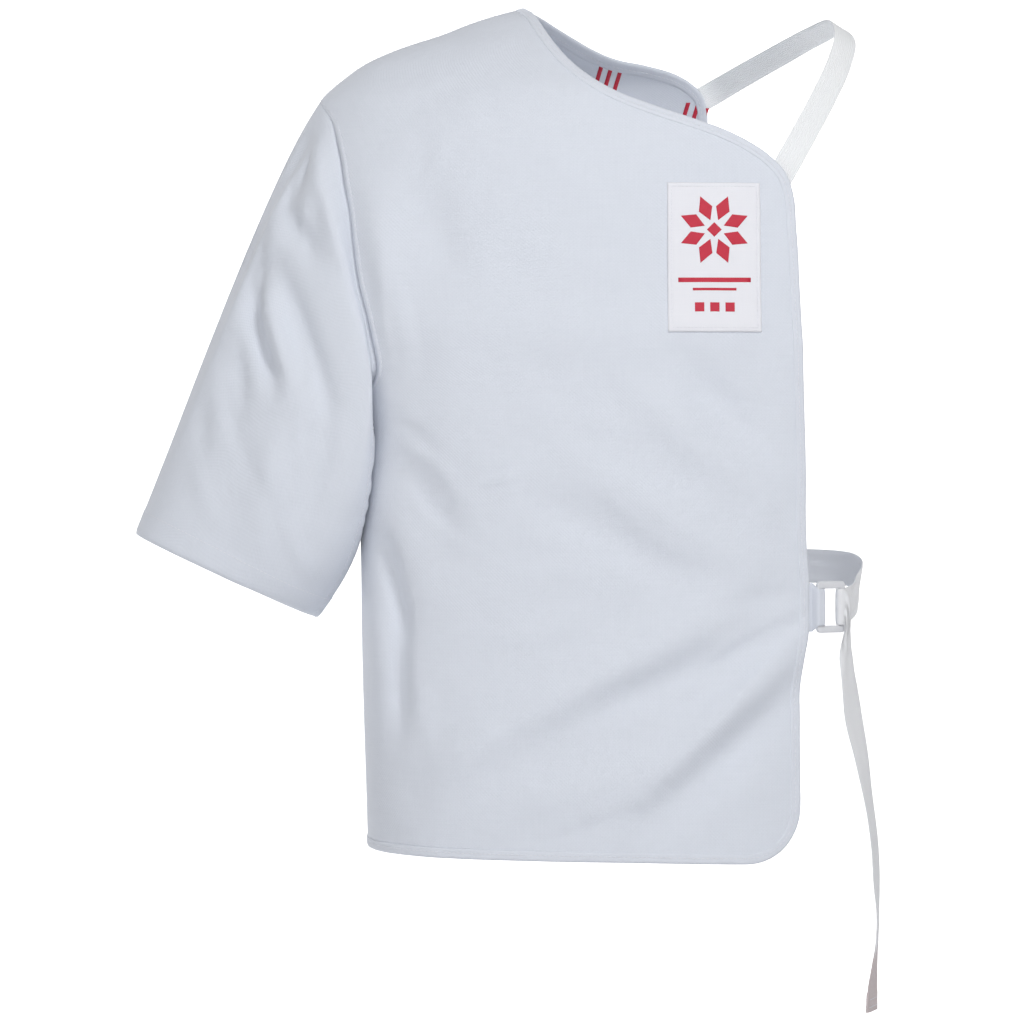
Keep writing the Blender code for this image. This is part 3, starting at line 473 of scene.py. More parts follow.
@dataclass(frozen=True)
class Figure:
    """The general figure: level rings of superellipses, with the shoulder seam along their widest points."""

    rings: tuple[Ring, ...] = RINGS

    def size(self, column: str, height: np.ndarray) -> np.ndarray:
        """A column of the ring table at any height."""
        heights = [ring.height for ring in self.rings]
        return smooth_curve(heights, [getattr(ring, column) for ring in self.rings], height)

    def point(self, side: Side, angle: np.ndarray, height: np.ndarray) -> np.ndarray:
        """A place on the figure; the angle is 0 at the sleeve's side seam and 90 at the centre."""
        turn = np.radians(angle)
        across = np.cos(turn)
        through = np.sin(turn)
        power = self.size("squareness", height)
        reach = (np.abs(across) ** power + np.abs(through) ** power) ** (-1 / power)
        depth = self.size("front_depth" if side is Side.FRONT else "back_depth", height)
        x = -self.size("half_width", height) * reach * across
        return np.stack([x, side.value * depth * reach * through, height + 0 * x], axis=-1)

    def angle_at(self, x: np.ndarray, height: np.ndarray) -> np.ndarray:
        """The angle of a place seen from in front."""
        power = self.size("squareness", height)
        across = np.clip(-x / self.size("half_width", height), -1, 1)
        through = (1 - np.abs(across) ** power) ** (1 / power)
        return np.degrees(np.arctan2(through, across))

    def ridge_height(self, half_width: np.ndarray) -> np.ndarray:
        """Height of the shoulder seam at a distance from the middle of the figure."""
        upper = [ring for ring in self.rings if ring.height >= ARMHOLE[0].height]
        return smooth_curve([r.half_width for r in upper], [r.height for r in upper], half_width)

    def origin(self) -> np.ndarray:
        """The part's own origin, under the wall of the shoulder seam."""
        return np.array([CARRY_X, 0.0, float(self.ridge_height(-CARRY_X)) - WALL])

    def girth(self, side: Side, angle: np.ndarray, height: float = -400.0) -> np.ndarray:
        """The length round a ring from the side seam to an angle, which the weave's threads follow."""
        turns = np.linspace(0, 180, 361)
        ring = self.point(side, turns, np.full(turns.shape, height))
        return np.interp(angle, turns, lengths_along(ring))

    def fall(self, side: Side, height: np.ndarray) -> np.ndarray:
        """The length down the cloth from the neck point, over the slope of the shoulder."""
        heights = np.linspace(0, -640, 641)
        profile = self.point(side, np.full(heights.shape, 60.0), heights)
        return np.interp(-np.asarray(height, float), -heights, lengths_along(profile))


FIGURE = Figure()


@dataclass(frozen=True)
class ClothSurface:
    """The outer side of the cloth on the front or the back of the body."""

    side: Side
    folds: tuple[Fold, ...]
    creases: tuple[Fold, ...]
    rumple_size: float = 1.1
    rumple_wave: float = 105.0

    def draped(self, angle: np.ndarray, height: np.ndarray) -> np.ndarray:
        """The cloth with the large folds of its solid."""
        base = FIGURE.point(self.side, angle, height)
        normal = self._normal(lambda a, h: FIGURE.point(self.side, a, h), angle, height)
        lift = fold_lift(self.folds, base[..., 0], base[..., 2])
        return base + normal * (lift * facing(self.side, normal))[..., None]

    def normal(self, angle: np.ndarray, height: np.ndarray) -> np.ndarray:
        """The outward direction, kept square to the seam plane where front and back meet."""
        normal = self._normal(self.draped, angle, height)
        at_seam = np.abs(angle + 0 * height) < 1e-6
        normal[..., 1] = np.where(at_seam, 0, normal[..., 1])
        return unit(normal)

    def point(self, angle: np.ndarray, height: np.ndarray) -> np.ndarray:
        """The cloth with its fine creases and unevenness, which fade at the side seam."""
        base = self.draped(angle, height)
        normal = self.normal(angle, height)
        lift = fold_lift(self.creases, base[..., 0], base[..., 2])
        lift = lift + rumple(base[..., 0], base[..., 2], self.rumple_size, self.rumple_wave)
        return base + normal * (lift * facing(self.side, normal))[..., None]

    def beside(self, x: float, height: float, away: float) -> tuple[np.ndarray, np.ndarray]:
        """A place out of the cloth, or inside it where away is below 0, and the outward direction there."""
        angle = FIGURE.angle_at(np.array([x]), np.array([height]))
        level = np.array([height])
        normal = self.normal(angle, level)[0]
        return self.draped(angle, level)[0] + normal * away, normal

    def _normal(
        self, surface: Callable[[np.ndarray, np.ndarray], np.ndarray], angle: np.ndarray, height: np.ndarray
    ) -> np.ndarray:
        """The outward direction of a surface given by angle and height.

        Args:
            surface: gives the place of an angle and a height.
            angle: angles from the side seam.
            height: heights from the neck point.

        Returns:
            Unit directions.
        """
        turn = 0.4
        rise = 0.8
        around = surface(angle + turn, height) - surface(angle - turn, height)
        up = surface(angle, height + rise) - surface(angle, height - rise)
        return unit(self.side.value * np.cross(up, around))


FRONT_CLOTH = ClothSurface(Side.FRONT, FRONT_FOLDS, FRONT_CREASES)
BACK_CLOTH = ClothSurface(Side.BACK, BACK_FOLDS, BACK_CREASES)


@dataclass(frozen=True)
class Weave:
    """A pattern of threads for a finish: pitch in millimetres, and depths of its bump in millimetres."""

    grain: Grain
    pitch: float
    depth: float
    slub: float


@dataclass(frozen=True)
class ClothFinish:
    """A woven finish that follows the piece's own Cloth coordinates, which are in millimetres."""

    name: str
    colour: tuple[float, float, float]
    shade: tuple[float, float, float]
    weave: Weave
    roughness: float = 0.82
    sheen: float = 0.25
    uneven: float = 0.35
    soiled: tuple[float, float, float] = (0.60, 0.50, 0.50)
    soiled_from: float | None = None
    soiled_over: float = 16.0
    soiled_most: float = 0.8

    def material(self) -> bpy.types.Material:
        """The material, with weave, slubs, soft unevenness and a slight drift of colour."""
        tree = Nodes(self.name)
        uv = tree.add("ShaderNodeUVMap", uv_map="Cloth").outputs[0]
        axes = tree.add("ShaderNodeSeparateXYZ", [uv])
        wobble = tree.noise(uv, 0.11, 2.0)
        across = tree.math("MULTIPLY_ADD", wobble, 0.9, axes.outputs[0])
        down = tree.math("MULTIPLY_ADD", wobble, 0.9, axes.outputs[1])
        threads = self._threads(tree, across, down)
        weft = tree.noise(tree.scaled(uv, (0.035, 1.1, 1.0)), 1.0, 3.0)
        warp = tree.noise(tree.scaled(uv, (1.1, 0.035, 1.0)), 1.0, 3.0)
        slubs = tree.math("ADD", weft, warp)
        soft = tree.noise(uv, 0.09, 3.0)
        slub_relief = tree.math("MULTIPLY", slubs, self.weave.slub)
        fine = tree.math("MULTIPLY_ADD", threads, self.weave.depth, slub_relief)
        height = tree.math("MULTIPLY_ADD", soft, self.uneven, fine)
        bump = tree.add("ShaderNodeBump")
        bump.inputs["Strength"].default_value = 1.0
        bump.inputs["Distance"].default_value = MM
        tree.link(height, bump.inputs["Height"])
        shading = tree.math("MULTIPLY_ADD", threads, 0.10, tree.math("MULTIPLY", slubs, 0.45))
        colour = tree.mix(shading, self.colour, self.shade)
        if self.soiled_from is not None:
            start = -self.soiled_from / self.soiled_over
            past = tree.math("MULTIPLY_ADD", axes.outputs[1], 1 / self.soiled_over, start)
            patchy = tree.math("MULTIPLY_ADD", soft, 0.8, past)
            share = tree.math("MINIMUM", tree.math("MAXIMUM", patchy, 0.0), self.soiled_most)
            colour = tree.mix(share, colour, self.soiled)
        rough = tree.math("MULTIPLY_ADD", slubs, 0.08, self.roughness - 0.08)
        shader = tree.shader
        tree.link(colour, shader.inputs["Base Color"])
        tree.link(rough, shader.inputs["Roughness"])
        tree.link(bump.outputs[0], shader.inputs["Normal"])
        shader.inputs["Sheen Weight"].default_value = self.sheen
        shader.inputs["Sheen Roughness"].default_value = 0.45
        shader.inputs["Specular IOR Level"].default_value = 0.3
        return tree.material

    def _threads(
        self, tree: "Nodes", across: bpy.types.NodeSocket, down: bpy.types.NodeSocket
    ) -> bpy.types.NodeSocket:
        """The threads' height, from -1 to 1.

        Args:
            tree: the material's nodes.
            across: the coordinate along the weft.
            down: the coordinate along the warp.

        Returns:
            The socket that holds the height.
        """
        turns = 2 * math.pi / self.weave.pitch
        if self.weave.grain is Grain.RIBBED:
            rib = tree.math("SINE", tree.math("MULTIPLY", across, turns))
            bar = tree.math("SINE", tree.math("MULTIPLY", down, turns * 1.9))
            return tree.math("MULTIPLY_ADD", bar, 0.35, rib)
        if self.weave.grain is Grain.HERRINGBONE:
            zig = tree.math("PINGPONG", across, 4.0 * self.weave.pitch)
            return tree.math("SINE", tree.math("MULTIPLY", tree.math("ADD", down, zig), turns))
        weft = tree.math("SINE", tree.math("MULTIPLY", across, turns))
        warp = tree.math("SINE", tree.math("MULTIPLY", down, turns))
        return tree.math("MULTIPLY", weft, warp)


@dataclass(frozen=True)
class PlainFinish:
    """Thread, print or moulded plastic: a colour with fine speckle and a little wear."""

    name: str
    colour: tuple[float, float, float]
    shade: tuple[float, float, float]
    roughness: float
    grain: float
    depth: float
    specular: float = 0.4

    def material(self) -> bpy.types.Material:
        """The material, with its grain in the part's own coordinates."""
        tree = Nodes(self.name)
        place = tree.add("ShaderNodeTexCoord").outputs["Object"]
        speckle = tree.noise(place, self.grain, 4.0)
        patchy = tree.noise(place, self.grain * 0.12, 2.0)
        bump = tree.add("ShaderNodeBump")
        bump.inputs["Strength"].default_value = 1.0
        bump.inputs["Distance"].default_value = self.depth * MM
        tree.link(speckle, bump.inputs["Height"])
        blend = tree.math("MULTIPLY_ADD", speckle, 0.3, tree.math("MULTIPLY", patchy, 0.6))
        tree.link(tree.mix(blend, self.colour, self.shade), tree.shader.inputs["Base Color"])
        rough = tree.math("MULTIPLY_ADD", patchy, 0.18, self.roughness - 0.09)
        tree.link(rough, tree.shader.inputs["Roughness"])
        tree.link(bump.outputs[0], tree.shader.inputs["Normal"])
        tree.shader.inputs["Specular IOR Level"].default_value = self.specular
        return tree.material


class Nodes:
    """A material's node tree while it is put together."""

    def __init__(self, name: str) -> None:
        """Starts a material that holds one Principled BSDF."""
        self.material = bpy.data.materials.new(name)
        self.material.use_nodes = True
        self.tree = self.material.node_tree
        self.shader = self.tree.nodes["Principled BSDF"]

    def add(self, kind: str, inputs: Sequence[bpy.types.NodeSocket] = (), **values: object) -> bpy.types.Node:
        """Adds a node, links its first inputs and sets its own values."""
        node = self.tree.nodes.new(kind)
        for name, value in values.items():
            setattr(node, name, value)
        for number, socket in enumerate(inputs):
            self.link(socket, node.inputs[number])
        return node

    def link(self, output: bpy.types.NodeSocket, target: bpy.types.NodeSocket) -> None:
        """Links two sockets."""
        self.tree.links.new(output, target)

    def math(
        self,
        operation: str,
        first: bpy.types.NodeSocket,
        second: bpy.types.NodeSocket | float | None = None,
        third: bpy.types.NodeSocket | float | None = None,
    ) -> bpy.types.NodeSocket:
        """A sum, product or function of sockets and numbers."""
        node = self.add("ShaderNodeMath", operation=operation)
        for number, value in enumerate((first, second, third)):
            if isinstance(value, bpy.types.NodeSocket):
                self.link(value, node.inputs[number])
            elif value is not None:
                node.inputs[number].default_value = value
        return node.outputs[0]

    def scaled(self, vector: bpy.types.NodeSocket, scale: tuple[float, float, float]) -> bpy.types.NodeSocket:
        """A vector with its axes scaled."""
        node = self.add("ShaderNodeVectorMath", [vector], operation="MULTIPLY")
        node.inputs[1].default_value = scale
        return node.outputs[0]

    def noise(self, vector: bpy.types.NodeSocket, scale: float, detail: float) -> bpy.types.NodeSocket:
        """Smooth noise from 0 to 1."""
        node = self.add("ShaderNodeTexNoise", [vector])
        node.inputs["Scale"].default_value = scale
        node.inputs["Detail"].default_value = detail
        return node.outputs[0]

    def mix(
        self,
        share: bpy.types.NodeSocket,
        first: bpy.types.NodeSocket | tuple[float, float, float],
        second: tuple[float, float, float],
    ) -> bpy.types.NodeSocket:
        """A colour between a colour or socket and another colour."""
        node = self.add("ShaderNodeMix", data_type="RGBA")
        if isinstance(first, bpy.types.NodeSocket):
            self.link(first, node.inputs[6])
        else:
            node.inputs[6].default_value = (*first, 1.0)
        node.inputs[7].default_value = (*second, 1.0)
        self.link(share, node.inputs[0])
        return node.outputs[2]


@dataclass(frozen=True)
class Piece:
    """How one finished piece is named, what it stands for and which finish it takes."""

    name: str
    slot: str
    material: bpy.types.Material
    replaces: tuple[str, ...] = ()

    def dress(self, obj: bpy.types.Object) -> bpy.types.Object:
        """Gives an object its material and its body, and hides the solid nodes that it stands for."""
        obj.data.materials.append(self.material)
        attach(obj, BODY)
        if self.replaces:
            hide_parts(*self.replaces)
        LOG.info("%s: %d faces, for %s", self.name, len(obj.data.polygons), self.replaces or "no solid")
        return obj


def mesh_object(
    name: str, points: np.ndarray, faces: np.ndarray, coordinates: np.ndarray | None = None
) -> bpy.types.Object:
    """A smooth mesh from figure points in millimetres.

    Args:
        name: the object's name.
        points: points, one a row.
        faces: corner numbers, four a row.
        coordinates: Cloth coordinates, two for each corner of each face.

    Returns:
        The object, in the part's own place.
    """
    mesh = bpy.data.meshes.new(name)
    placed = (np.asarray(points, float).reshape(-1, 3) - FIGURE.origin()) * MM
    mesh.from_pydata(placed.tolist(), [], np.asarray(faces).tolist())
    if coordinates is not None:
        layer = mesh.uv_layers.new(name="Cloth")
        layer.data.foreach_set("uv", np.asarray(coordinates, np.float32).ravel())
    mesh.validate()
    mesh.shade_smooth()
    obj = bpy.data.objects.new(name, mesh)
    bpy.context.scene.collection.objects.link(obj)
    return obj


def grid_faces(rows: int, columns: int, wrapped: bool) -> tuple[np.ndarray, np.ndarray]:
    """Quads of a grid of points.

    Args:
        rows: rows of points.
        columns: columns of points.
        wrapped: whether the last column joins the first.

    Returns:
        Corner numbers of the points, and of a coordinate grid that has one column more where it is wrapped.
    """
    spans = columns if wrapped else columns - 1
    row, column = np.meshgrid(np.arange(rows - 1), np.arange(spans), indexing="ij")
    row = row.ravel()
    column = column.ravel()
    beside = (column + 1) % columns
    upper = row * columns
    lower = upper + columns
    faces = np.stack([upper + column, upper + beside, lower + beside, lower + column], axis=1)
    wide = spans + 1
    corner = row * wide + column
    corners = np.stack([corner, corner + 1, corner + wide + 1, corner + wide], axis=1)
    return faces, corners


def shell_object(
    name: str,
    outer: np.ndarray,
    normals: np.ndarray,
    thickness: np.ndarray | float,
    coordinates: np.ndarray,
    wrapped: bool = False,
) -> bpy.types.Object:
    """A closed thin shell of cloth from a grid of outer points.

    Args:
        name: the object's name.
        outer: a grid of points.
        normals: outward directions at the points.
        thickness: how far the inner side lies behind the outer one.
        coordinates: Cloth coordinates of the grid, with one column more where it is wrapped.
        wrapped: whether the last column joins the first.

    Returns:
        The object.
    """
    rows, columns = outer.shape[:2]
    inner = outer - normals * np.broadcast_to(thickness, outer.shape[:2])[..., None]
    faces, corners = grid_faces(rows, columns, wrapped)
    count = rows * columns
    flat = coordinates.reshape(-1, 2)
    all_faces = [faces, faces[:, ::-1] + count]
    all_coordinates = [flat[corners], flat[corners[:, ::-1]]]
    index = np.arange(count).reshape(rows, columns)
    if wrapped:
        index = np.concatenate([index, index[:, :1]], axis=1)
    grid = np.arange(len(flat)).reshape(coordinates.shape[:2])
    rims = [(index[0], grid[0]), (index[-1][::-1], grid[-1][::-1])]
    if not wrapped:
        rims += [(index[::-1, 0], grid[::-1, 0]), (index[:, -1], grid[:, -1])]
    for edge, places in rims:
        all_faces.append(np.stack([edge[1:], edge[:-1], edge[:-1] + count, edge[1:] + count], axis=1))
        strip = np.stack([places[1:], places[:-1], places[:-1], places[1:]], axis=1)
        all_coordinates.append(flat[strip])
    points = np.concatenate([outer.reshape(-1, 3), inner.reshape(-1, 3)])
    return mesh_object(name, points, np.concatenate(all_faces), np.concatenate(all_coordinates))


def swept_object(name: str, sections: np.ndarray, coordinates: np.ndarray) -> bpy.types.Object:
    """A closed tube through sections of the same number of points, with a flat cap at each end.

    Args:
        name: the object's name.
        sections: a grid of points, one section a row.
        coordinates: Cloth coordinates of the sections, with one column more than the points.

    Returns:
        The object.
    """
    rows, columns = sections.shape[:2]
    faces, corners = grid_faces(rows, columns, True)
    flat = coordinates.reshape(-1, 2)
    caps = []
    cap_coordinates = []
    for row, turned in ((0, False), (rows - 1, True)):
        low = np.arange(columns // 2 - 1)
        high = columns - 1 - low
        cap = np.stack([low, high, high - 1, low + 1], axis=1) + row * columns
        caps.append(cap[:, ::-1] if turned else cap)
        cap_coordinates.append(flat[np.clip(caps[-1], 0, len(flat) - 1)])
    return mesh_object(
        name,
        sections,
        np.concatenate([faces[:, ::-1], *caps]),
        np.concatenate([flat[corners[:, ::-1]], *cap_coordinates]),
    )


@dataclass(frozen=True)
class Thread:
    """A line of sewing: the pitch and length of its stitches and the thread's radius, in millimetres."""

    pitch: float = 3.2
    length: float = 2.35
    radius: float = 0.24

    def sew(
        self, name: str, lines: Sequence[np.ndarray], slot: str, finish: bpy.types.Material
    ) -> bpy.types.Object:
        """Makes every stitch along some lines as one dressed mesh.

        Args:
            name: the object's name.
            lines: polylines whose rows are x, y, z and the outward direction.
            slot: the slot of the cloth that the stitches hold, kept on the piece but not used.
            finish: the thread's material.

        Returns:
            The object: small arched threads whose ends dive into the cloth.
        """
        steps = np.array([0.0, 0.14, 0.5, 0.86, 1.0])
        rise = np.array([-0.9, 0.35, 0.75, 0.35, -0.9])
        girth = np.array([0.55, 0.95, 1.0, 0.95, 0.55])
        turns = 2 * math.pi * np.arange(6) / 6
        points = []
        for line in lines:
            total = lengths_along(line[:, :3])[-1]
            starts = np.arange(0.4, total - self.length, self.pitch)
            if len(starts) == 0:
                continue
            places = (starts[:, None] + steps * self.length).ravel()
            at = resampled(line, places).reshape(len(starts), len(steps), 6)
            outward = unit(at[..., 3:])
            along = unit(at[:, -1:, :3] - at[:, :1, :3])
            beside = unit(np.cross(outward, along))
            middle = at[..., :3] + outward * (rise * self.radius)[:, None]
            radius = (girth * self.radius)[None, :, None, None]
            ring = np.cos(turns)[:, None] * beside[:, :, None, :]
            ring = ring + np.sin(turns)[:, None] * outward[:, :, None, :]
            points.append(middle[:, :, None, :] + ring * radius)
        stitches = np.concatenate(points)
        count, rows, columns = stitches.shape[:3]
        faces, _ = grid_faces(rows, columns, True)
        offsets = np.arange(count)[:, None, None] * rows * columns
        caps = np.array([[3, 2, 1, 0], [5, 4, 3, 0]])
        last = (rows - 1) * columns
        ends = np.array([[0, 1, 2, 3], [0, 3, 4, 5]]) + last
        every = np.concatenate([faces, caps, ends])[None] + offsets
        sewing = mesh_object(name, stitches, every.reshape(-1, 4))
        Piece(sewing.name, slot, finish).dress(sewing)
        return sewing


@dataclass(frozen=True)
class PanelCut:
    """The cut of the front or the back: its free edge, its corner and how its rows are shared out."""

    cloth: ClothSurface
    edge: tuple[Place, ...]
    corner_height: float
    shares: tuple[float, float]
    armhole_share: float
    side_rows: int = 104
    armhole_rows: int = 80
    shoulder_rows: int = 38
    columns: int = 176
    row_bow: float = 1.5

    def armhole_line(self) -> tuple[np.ndarray, np.ndarray]:
        """Heights and angles of the armhole from the shoulder tip to the underarm."""
        radius = 150.0
        points = [(row.height, math.radians(row.angle) * radius) for row in ARMHOLE]
        line = smooth_path(points, self.armhole_rows + 1)
        angles = np.degrees(line[:, 1] / radius) * self.armhole_share
        angles[0] = 0.0
        angles[-1] = 0.0
        return line[:, 0], angles

    def left_border(self) -> tuple[np.ndarray, np.ndarray]:
        """Angles and heights from the hem up the side seam, the armhole and the shoulder seam."""
        hem = HEM_SIDE + BINDING_WIDTH + SEAM_GAP
        side = np.linspace(hem, ARMHOLE[-1].height, self.side_rows + 1)
        arm_heights, arm_angles = self.armhole_line()
        tip = -FIGURE.point(Side.FRONT, 0.0, float(ARMHOLE[0].height))[0]
        widths = np.linspace(tip, NECK_RIDGE_X + BINDING_WIDTH + SEAM_GAP, self.shoulder_rows + 1)
        ridge = FIGURE.ridge_height(widths)
        heights = np.concatenate([side, arm_heights[::-1][1:], ridge[1:]])
        angles = np.concatenate([0 * side, arm_angles[::-1][1:], 0 * ridge[1:]])
        return angles, heights

    def free_border(self) -> tuple[tuple[np.ndarray, np.ndarray], tuple[np.ndarray, np.ndarray]]:
        """The finished edge and the line one binding width inside it, each as angles and heights."""
        centre_x = self.edge[0].x - CORNER_RADIUS
        centre_height = self.corner_height + CORNER_RADIUS
        turns = np.radians(np.linspace(-90, 0, 13))
        arc = [
            (centre_x + CORNER_RADIUS * math.cos(turn), centre_height + CORNER_RADIUS * math.sin(turn))
            for turn in turns
        ]
        top = (-NECK_RIDGE_X, float(FIGURE.ridge_height(NECK_RIDGE_X)))
        line = smooth_path(arc + [(row.x, row.height) for row in self.edge] + [top], 900)
        along = unit(np.gradient(line, axis=0))
        inner = line + np.stack([-along[:, 1], along[:, 0]], axis=1) * (BINDING_WIDTH + SEAM_GAP)
        steps = np.concatenate(
            [
                np.linspace(0, self.shares[0], self.side_rows + 1),
                np.linspace(self.shares[0], self.shares[1], self.armhole_rows + 1)[1:],
                np.linspace(self.shares[1], 1, self.shoulder_rows + 1)[1:],
            ]
        )
        found = []
        for path, width in ((line, NECK_RIDGE_X), (inner, NECK_RIDGE_X + BINDING_WIDTH + SEAM_GAP)):
            rows = np.linspace(0, 1, len(path))
            x = np.interp(steps, rows, path[:, 0])
            height = np.interp(steps, rows, path[:, 1])
            angles = FIGURE.angle_at(x, height)
            angles[-1] = 0.0
            height[-1] = FIGURE.ridge_height(np.array([width]))[0]
            found.append((angles, height))
        return found[0], found[1]

    def grid(self) -> tuple[np.ndarray, np.ndarray]:
        """Angles and heights over the whole panel, closer together beside its seams and its free edge."""
        left_angles, left_heights = self.left_border()
        right_angles, right_heights = self.free_border()[1]
        columns = crowded(self.columns, 0.62)
        angles = left_angles[:, None] + (right_angles - left_angles)[:, None] * columns
        heights = left_heights[:, None] + (right_heights - left_heights)[:, None] * columns**self.row_bow
        return angles, heights


@dataclass(frozen=True)
class TorsoPanel:
    """The front or the back of the garment: its cloth, its bound edge and its sewing."""

    word: str
    cut: PanelCut
    finishes: "Finishes"
    flat: tuple[float, float]
    area: float
    seam_depth: float = 0.7
    seam_width: float = 1.3
    seam_ridge: float = 0.35
    topstitch: float = 4.6

    def build(self) -> None:
        """Makes every piece of the panel."""
        angles, heights = self.cut.grid()
        outer = self.cut.cloth.point(angles, heights)
        normals = self.cut.cloth.normal(angles, heights)
        on_seam = angles < 1e-6
        outer[..., 1] = np.where(on_seam, self.cut.cloth.side.value * SEAM_GAP / 2, outer[..., 1])
        steps = np.linalg.norm(np.diff(outer, axis=1), axis=2)
        from_seam = np.concatenate([np.zeros((len(outer), 1)), np.cumsum(steps, axis=1)], axis=1)
        length = np.maximum(from_seam[:, -1:], 1e-6)
        rise = self._seam_rise(from_seam) * ease(length / 30.0) * self._seam_share()[:, None]
        outer = outer + normals * rise[..., None]
        coordinates = self._coordinates(angles, heights)
        cloth = shell_object(f"{self.word}_cloth", outer, normals, WALL, coordinates)
        Piece(cloth.name, "cloth", self.finishes.cloth, (f"{self.word}_panel",)).dress(cloth)
        tape = self._tape()
        Piece(tape.name, "binding", self.finishes.tape, (f"{self.word}_binding",)).dress(tape)
        thread = self.finishes.thread
        edge_sewing = Thread().sew(f"{self.word}_edge_stitches", self._edge_lines(), "binding", thread)
        seam = self._seam_line(outer, normals, from_seam)
        seam_sewing = Thread(radius=0.2).sew(f"{self.word}_seam_stitches", [seam], "cloth", thread)

    def _seam_rise(self, away: np.ndarray) -> np.ndarray:
        """A groove along the seams with a soft ridge beside it, by the distance from the seam."""
        groove = -self.seam_depth * np.exp(-((away / self.seam_width) ** 2))
        ridge = self.seam_ridge * np.exp(-(((away - 3.2) / 1.6) ** 2))
        dimple = -0.22 * np.exp(-(((away - self.topstitch) / 0.8) ** 2))
        return groove + ridge + dimple

    def _seam_share(self) -> np.ndarray:
        """How deep the seam lies at each row: full at the side and armhole, shallow over the shoulder."""
        rows = np.arange(self.cut.side_rows + self.cut.armhole_rows + self.cut.shoulder_rows + 1)
        to_tip = (self.cut.side_rows + self.cut.armhole_rows - rows) / self.cut.armhole_rows
        return 0.08 + 0.92 * ease((to_tip - 0.10) / 0.22)

    def _coordinates(self, angles: np.ndarray, heights: np.ndarray) -> np.ndarray:
        """Cloth coordinates in millimetres: round the body, and down from the neck point."""
        side = self.cut.cloth.side
        return np.stack([FIGURE.girth(side, angles), -FIGURE.fall(side, heights)], axis=-1)

    def _seam_line(self, outer: np.ndarray, normals: np.ndarray, away: np.ndarray) -> np.ndarray:
        """The topstitched line beside the side seam, the armhole and the shoulder seam."""
        rows = []
        for row, distance in enumerate(away):
            if distance[-1] < 4 * self.topstitch:
                continue
            line = np.concatenate([outer[row], normals[row]], axis=1)
            rows.append([np.interp(self.topstitch, distance, line[:, i]) for i in range(6)])
        return np.array(rows)

    def _edge_stations(self) -> tuple[np.ndarray, np.ndarray, np.ndarray, np.ndarray]:
        """Inner and outer angles and heights round the hem, the corner, the free edge and the neckline."""
        angles, heights = self.cut.grid()
        (edge_angles, edge_heights), (line_angles, line_heights) = self.cut.free_border()
        width = BINDING_WIDTH + SEAM_GAP
        outer_angles = np.concatenate([angles[0, :-1], edge_angles])
        outer_heights = np.concatenate([heights[0, :-1] - width, edge_heights])
        inner_angles = np.concatenate([angles[0, :-1], line_angles])
        inner_heights = np.concatenate([heights[0, :-1], line_heights])
        return inner_angles, inner_heights, outer_angles, outer_heights

    def _edge_points(self, offset: float, rise: np.ndarray | float) -> tuple[np.ndarray, np.ndarray]:
        """A line along the bound edge.

        Args:
            offset: millimetres outwards from the tape's sewn edge.
            rise: millimetres out of the cloth, the same all along or one for each station.

        Returns:
            Its points and the outward directions.
        """
        inner_angles, inner_heights, outer_angles, outer_heights = self._edge_stations()
        share = offset / (BINDING_WIDTH + SEAM_GAP)
        at = inner_angles + (outer_angles - inner_angles) * share
        height = inner_heights + (outer_heights - inner_heights) * share
        at_seam = (inner_angles < 1e-6) & (outer_angles < 1e-6)
        at = np.where(at_seam, 0.0, np.maximum(at, 0.0))
        normal = self.cut.cloth.normal(at, height)
        place = self.cut.cloth.point(at, height) + normal * np.broadcast_to(rise, at.shape)[:, None]
        gap = self.cut.cloth.side.value * SEAM_GAP / 2
        place[:, 1] = np.where(at_seam, gap, place[:, 1])
        return place, normal

    def _tape(self) -> bpy.types.Object:
        """The folded tape: a soft closed section round the cloth's edge, drawn in at its stitches."""
        proud = BINDING_PROUD
        face = (
            (-0.9, -0.5),
            (-0.9, 0.2),
            (-0.4, proud),
            (0.8, proud + 0.08),
            (2.1, proud - 0.12),
            (3.4, proud + 0.1),
            (4.8, proud),
            (5.8, 0.05),
        )
        fold = (BINDING_WIDTH + SEAM_GAP, -0.5 * WALL)
        profile = (*face, fold, *((offset, -WALL - rise) for offset, rise in reversed(face)))
        middle = self._edge_points(3.0, 0.0)[0]
        along = lengths_along(middle)
        pucker = 0.11 * np.sin(2 * math.pi * along / 6.4) + 0.07 * np.sin(2 * math.pi * along / 17.0 + 1.0)
        sections = []
        across = [0.0]
        for number, (offset, rise) in enumerate(profile):
            drawn = pucker if rise > -0.5 * WALL else -pucker
            loose = 1.0 if 0.5 < offset < 5.5 else 0.3
            sections.append(self._edge_points(offset, rise + drawn * loose)[0])
            if number:
                before = profile[number - 1]
                across.append(across[-1] + math.hypot(offset - before[0], rise - before[1]))
        across.append(across[-1] + 1.0)
        points = np.stack(sections, axis=1)
        coordinates = np.stack(np.meshgrid(np.array(across), along), axis=-1)
        return swept_object(f"{self.word}_edge_tape", points, coordinates)

    def _edge_lines(self) -> list[np.ndarray]:
        """The sewing lines of the tape, on its outer and its inner side."""
        offset = 2.1
        outside, normal = self._edge_points(offset, BINDING_PROUD - 0.1)
        inside = self._edge_points(offset, -WALL - BINDING_PROUD + 0.1)[0]
        return [np.concatenate([outside, normal], axis=1), np.concatenate([inside, -normal], axis=1)]


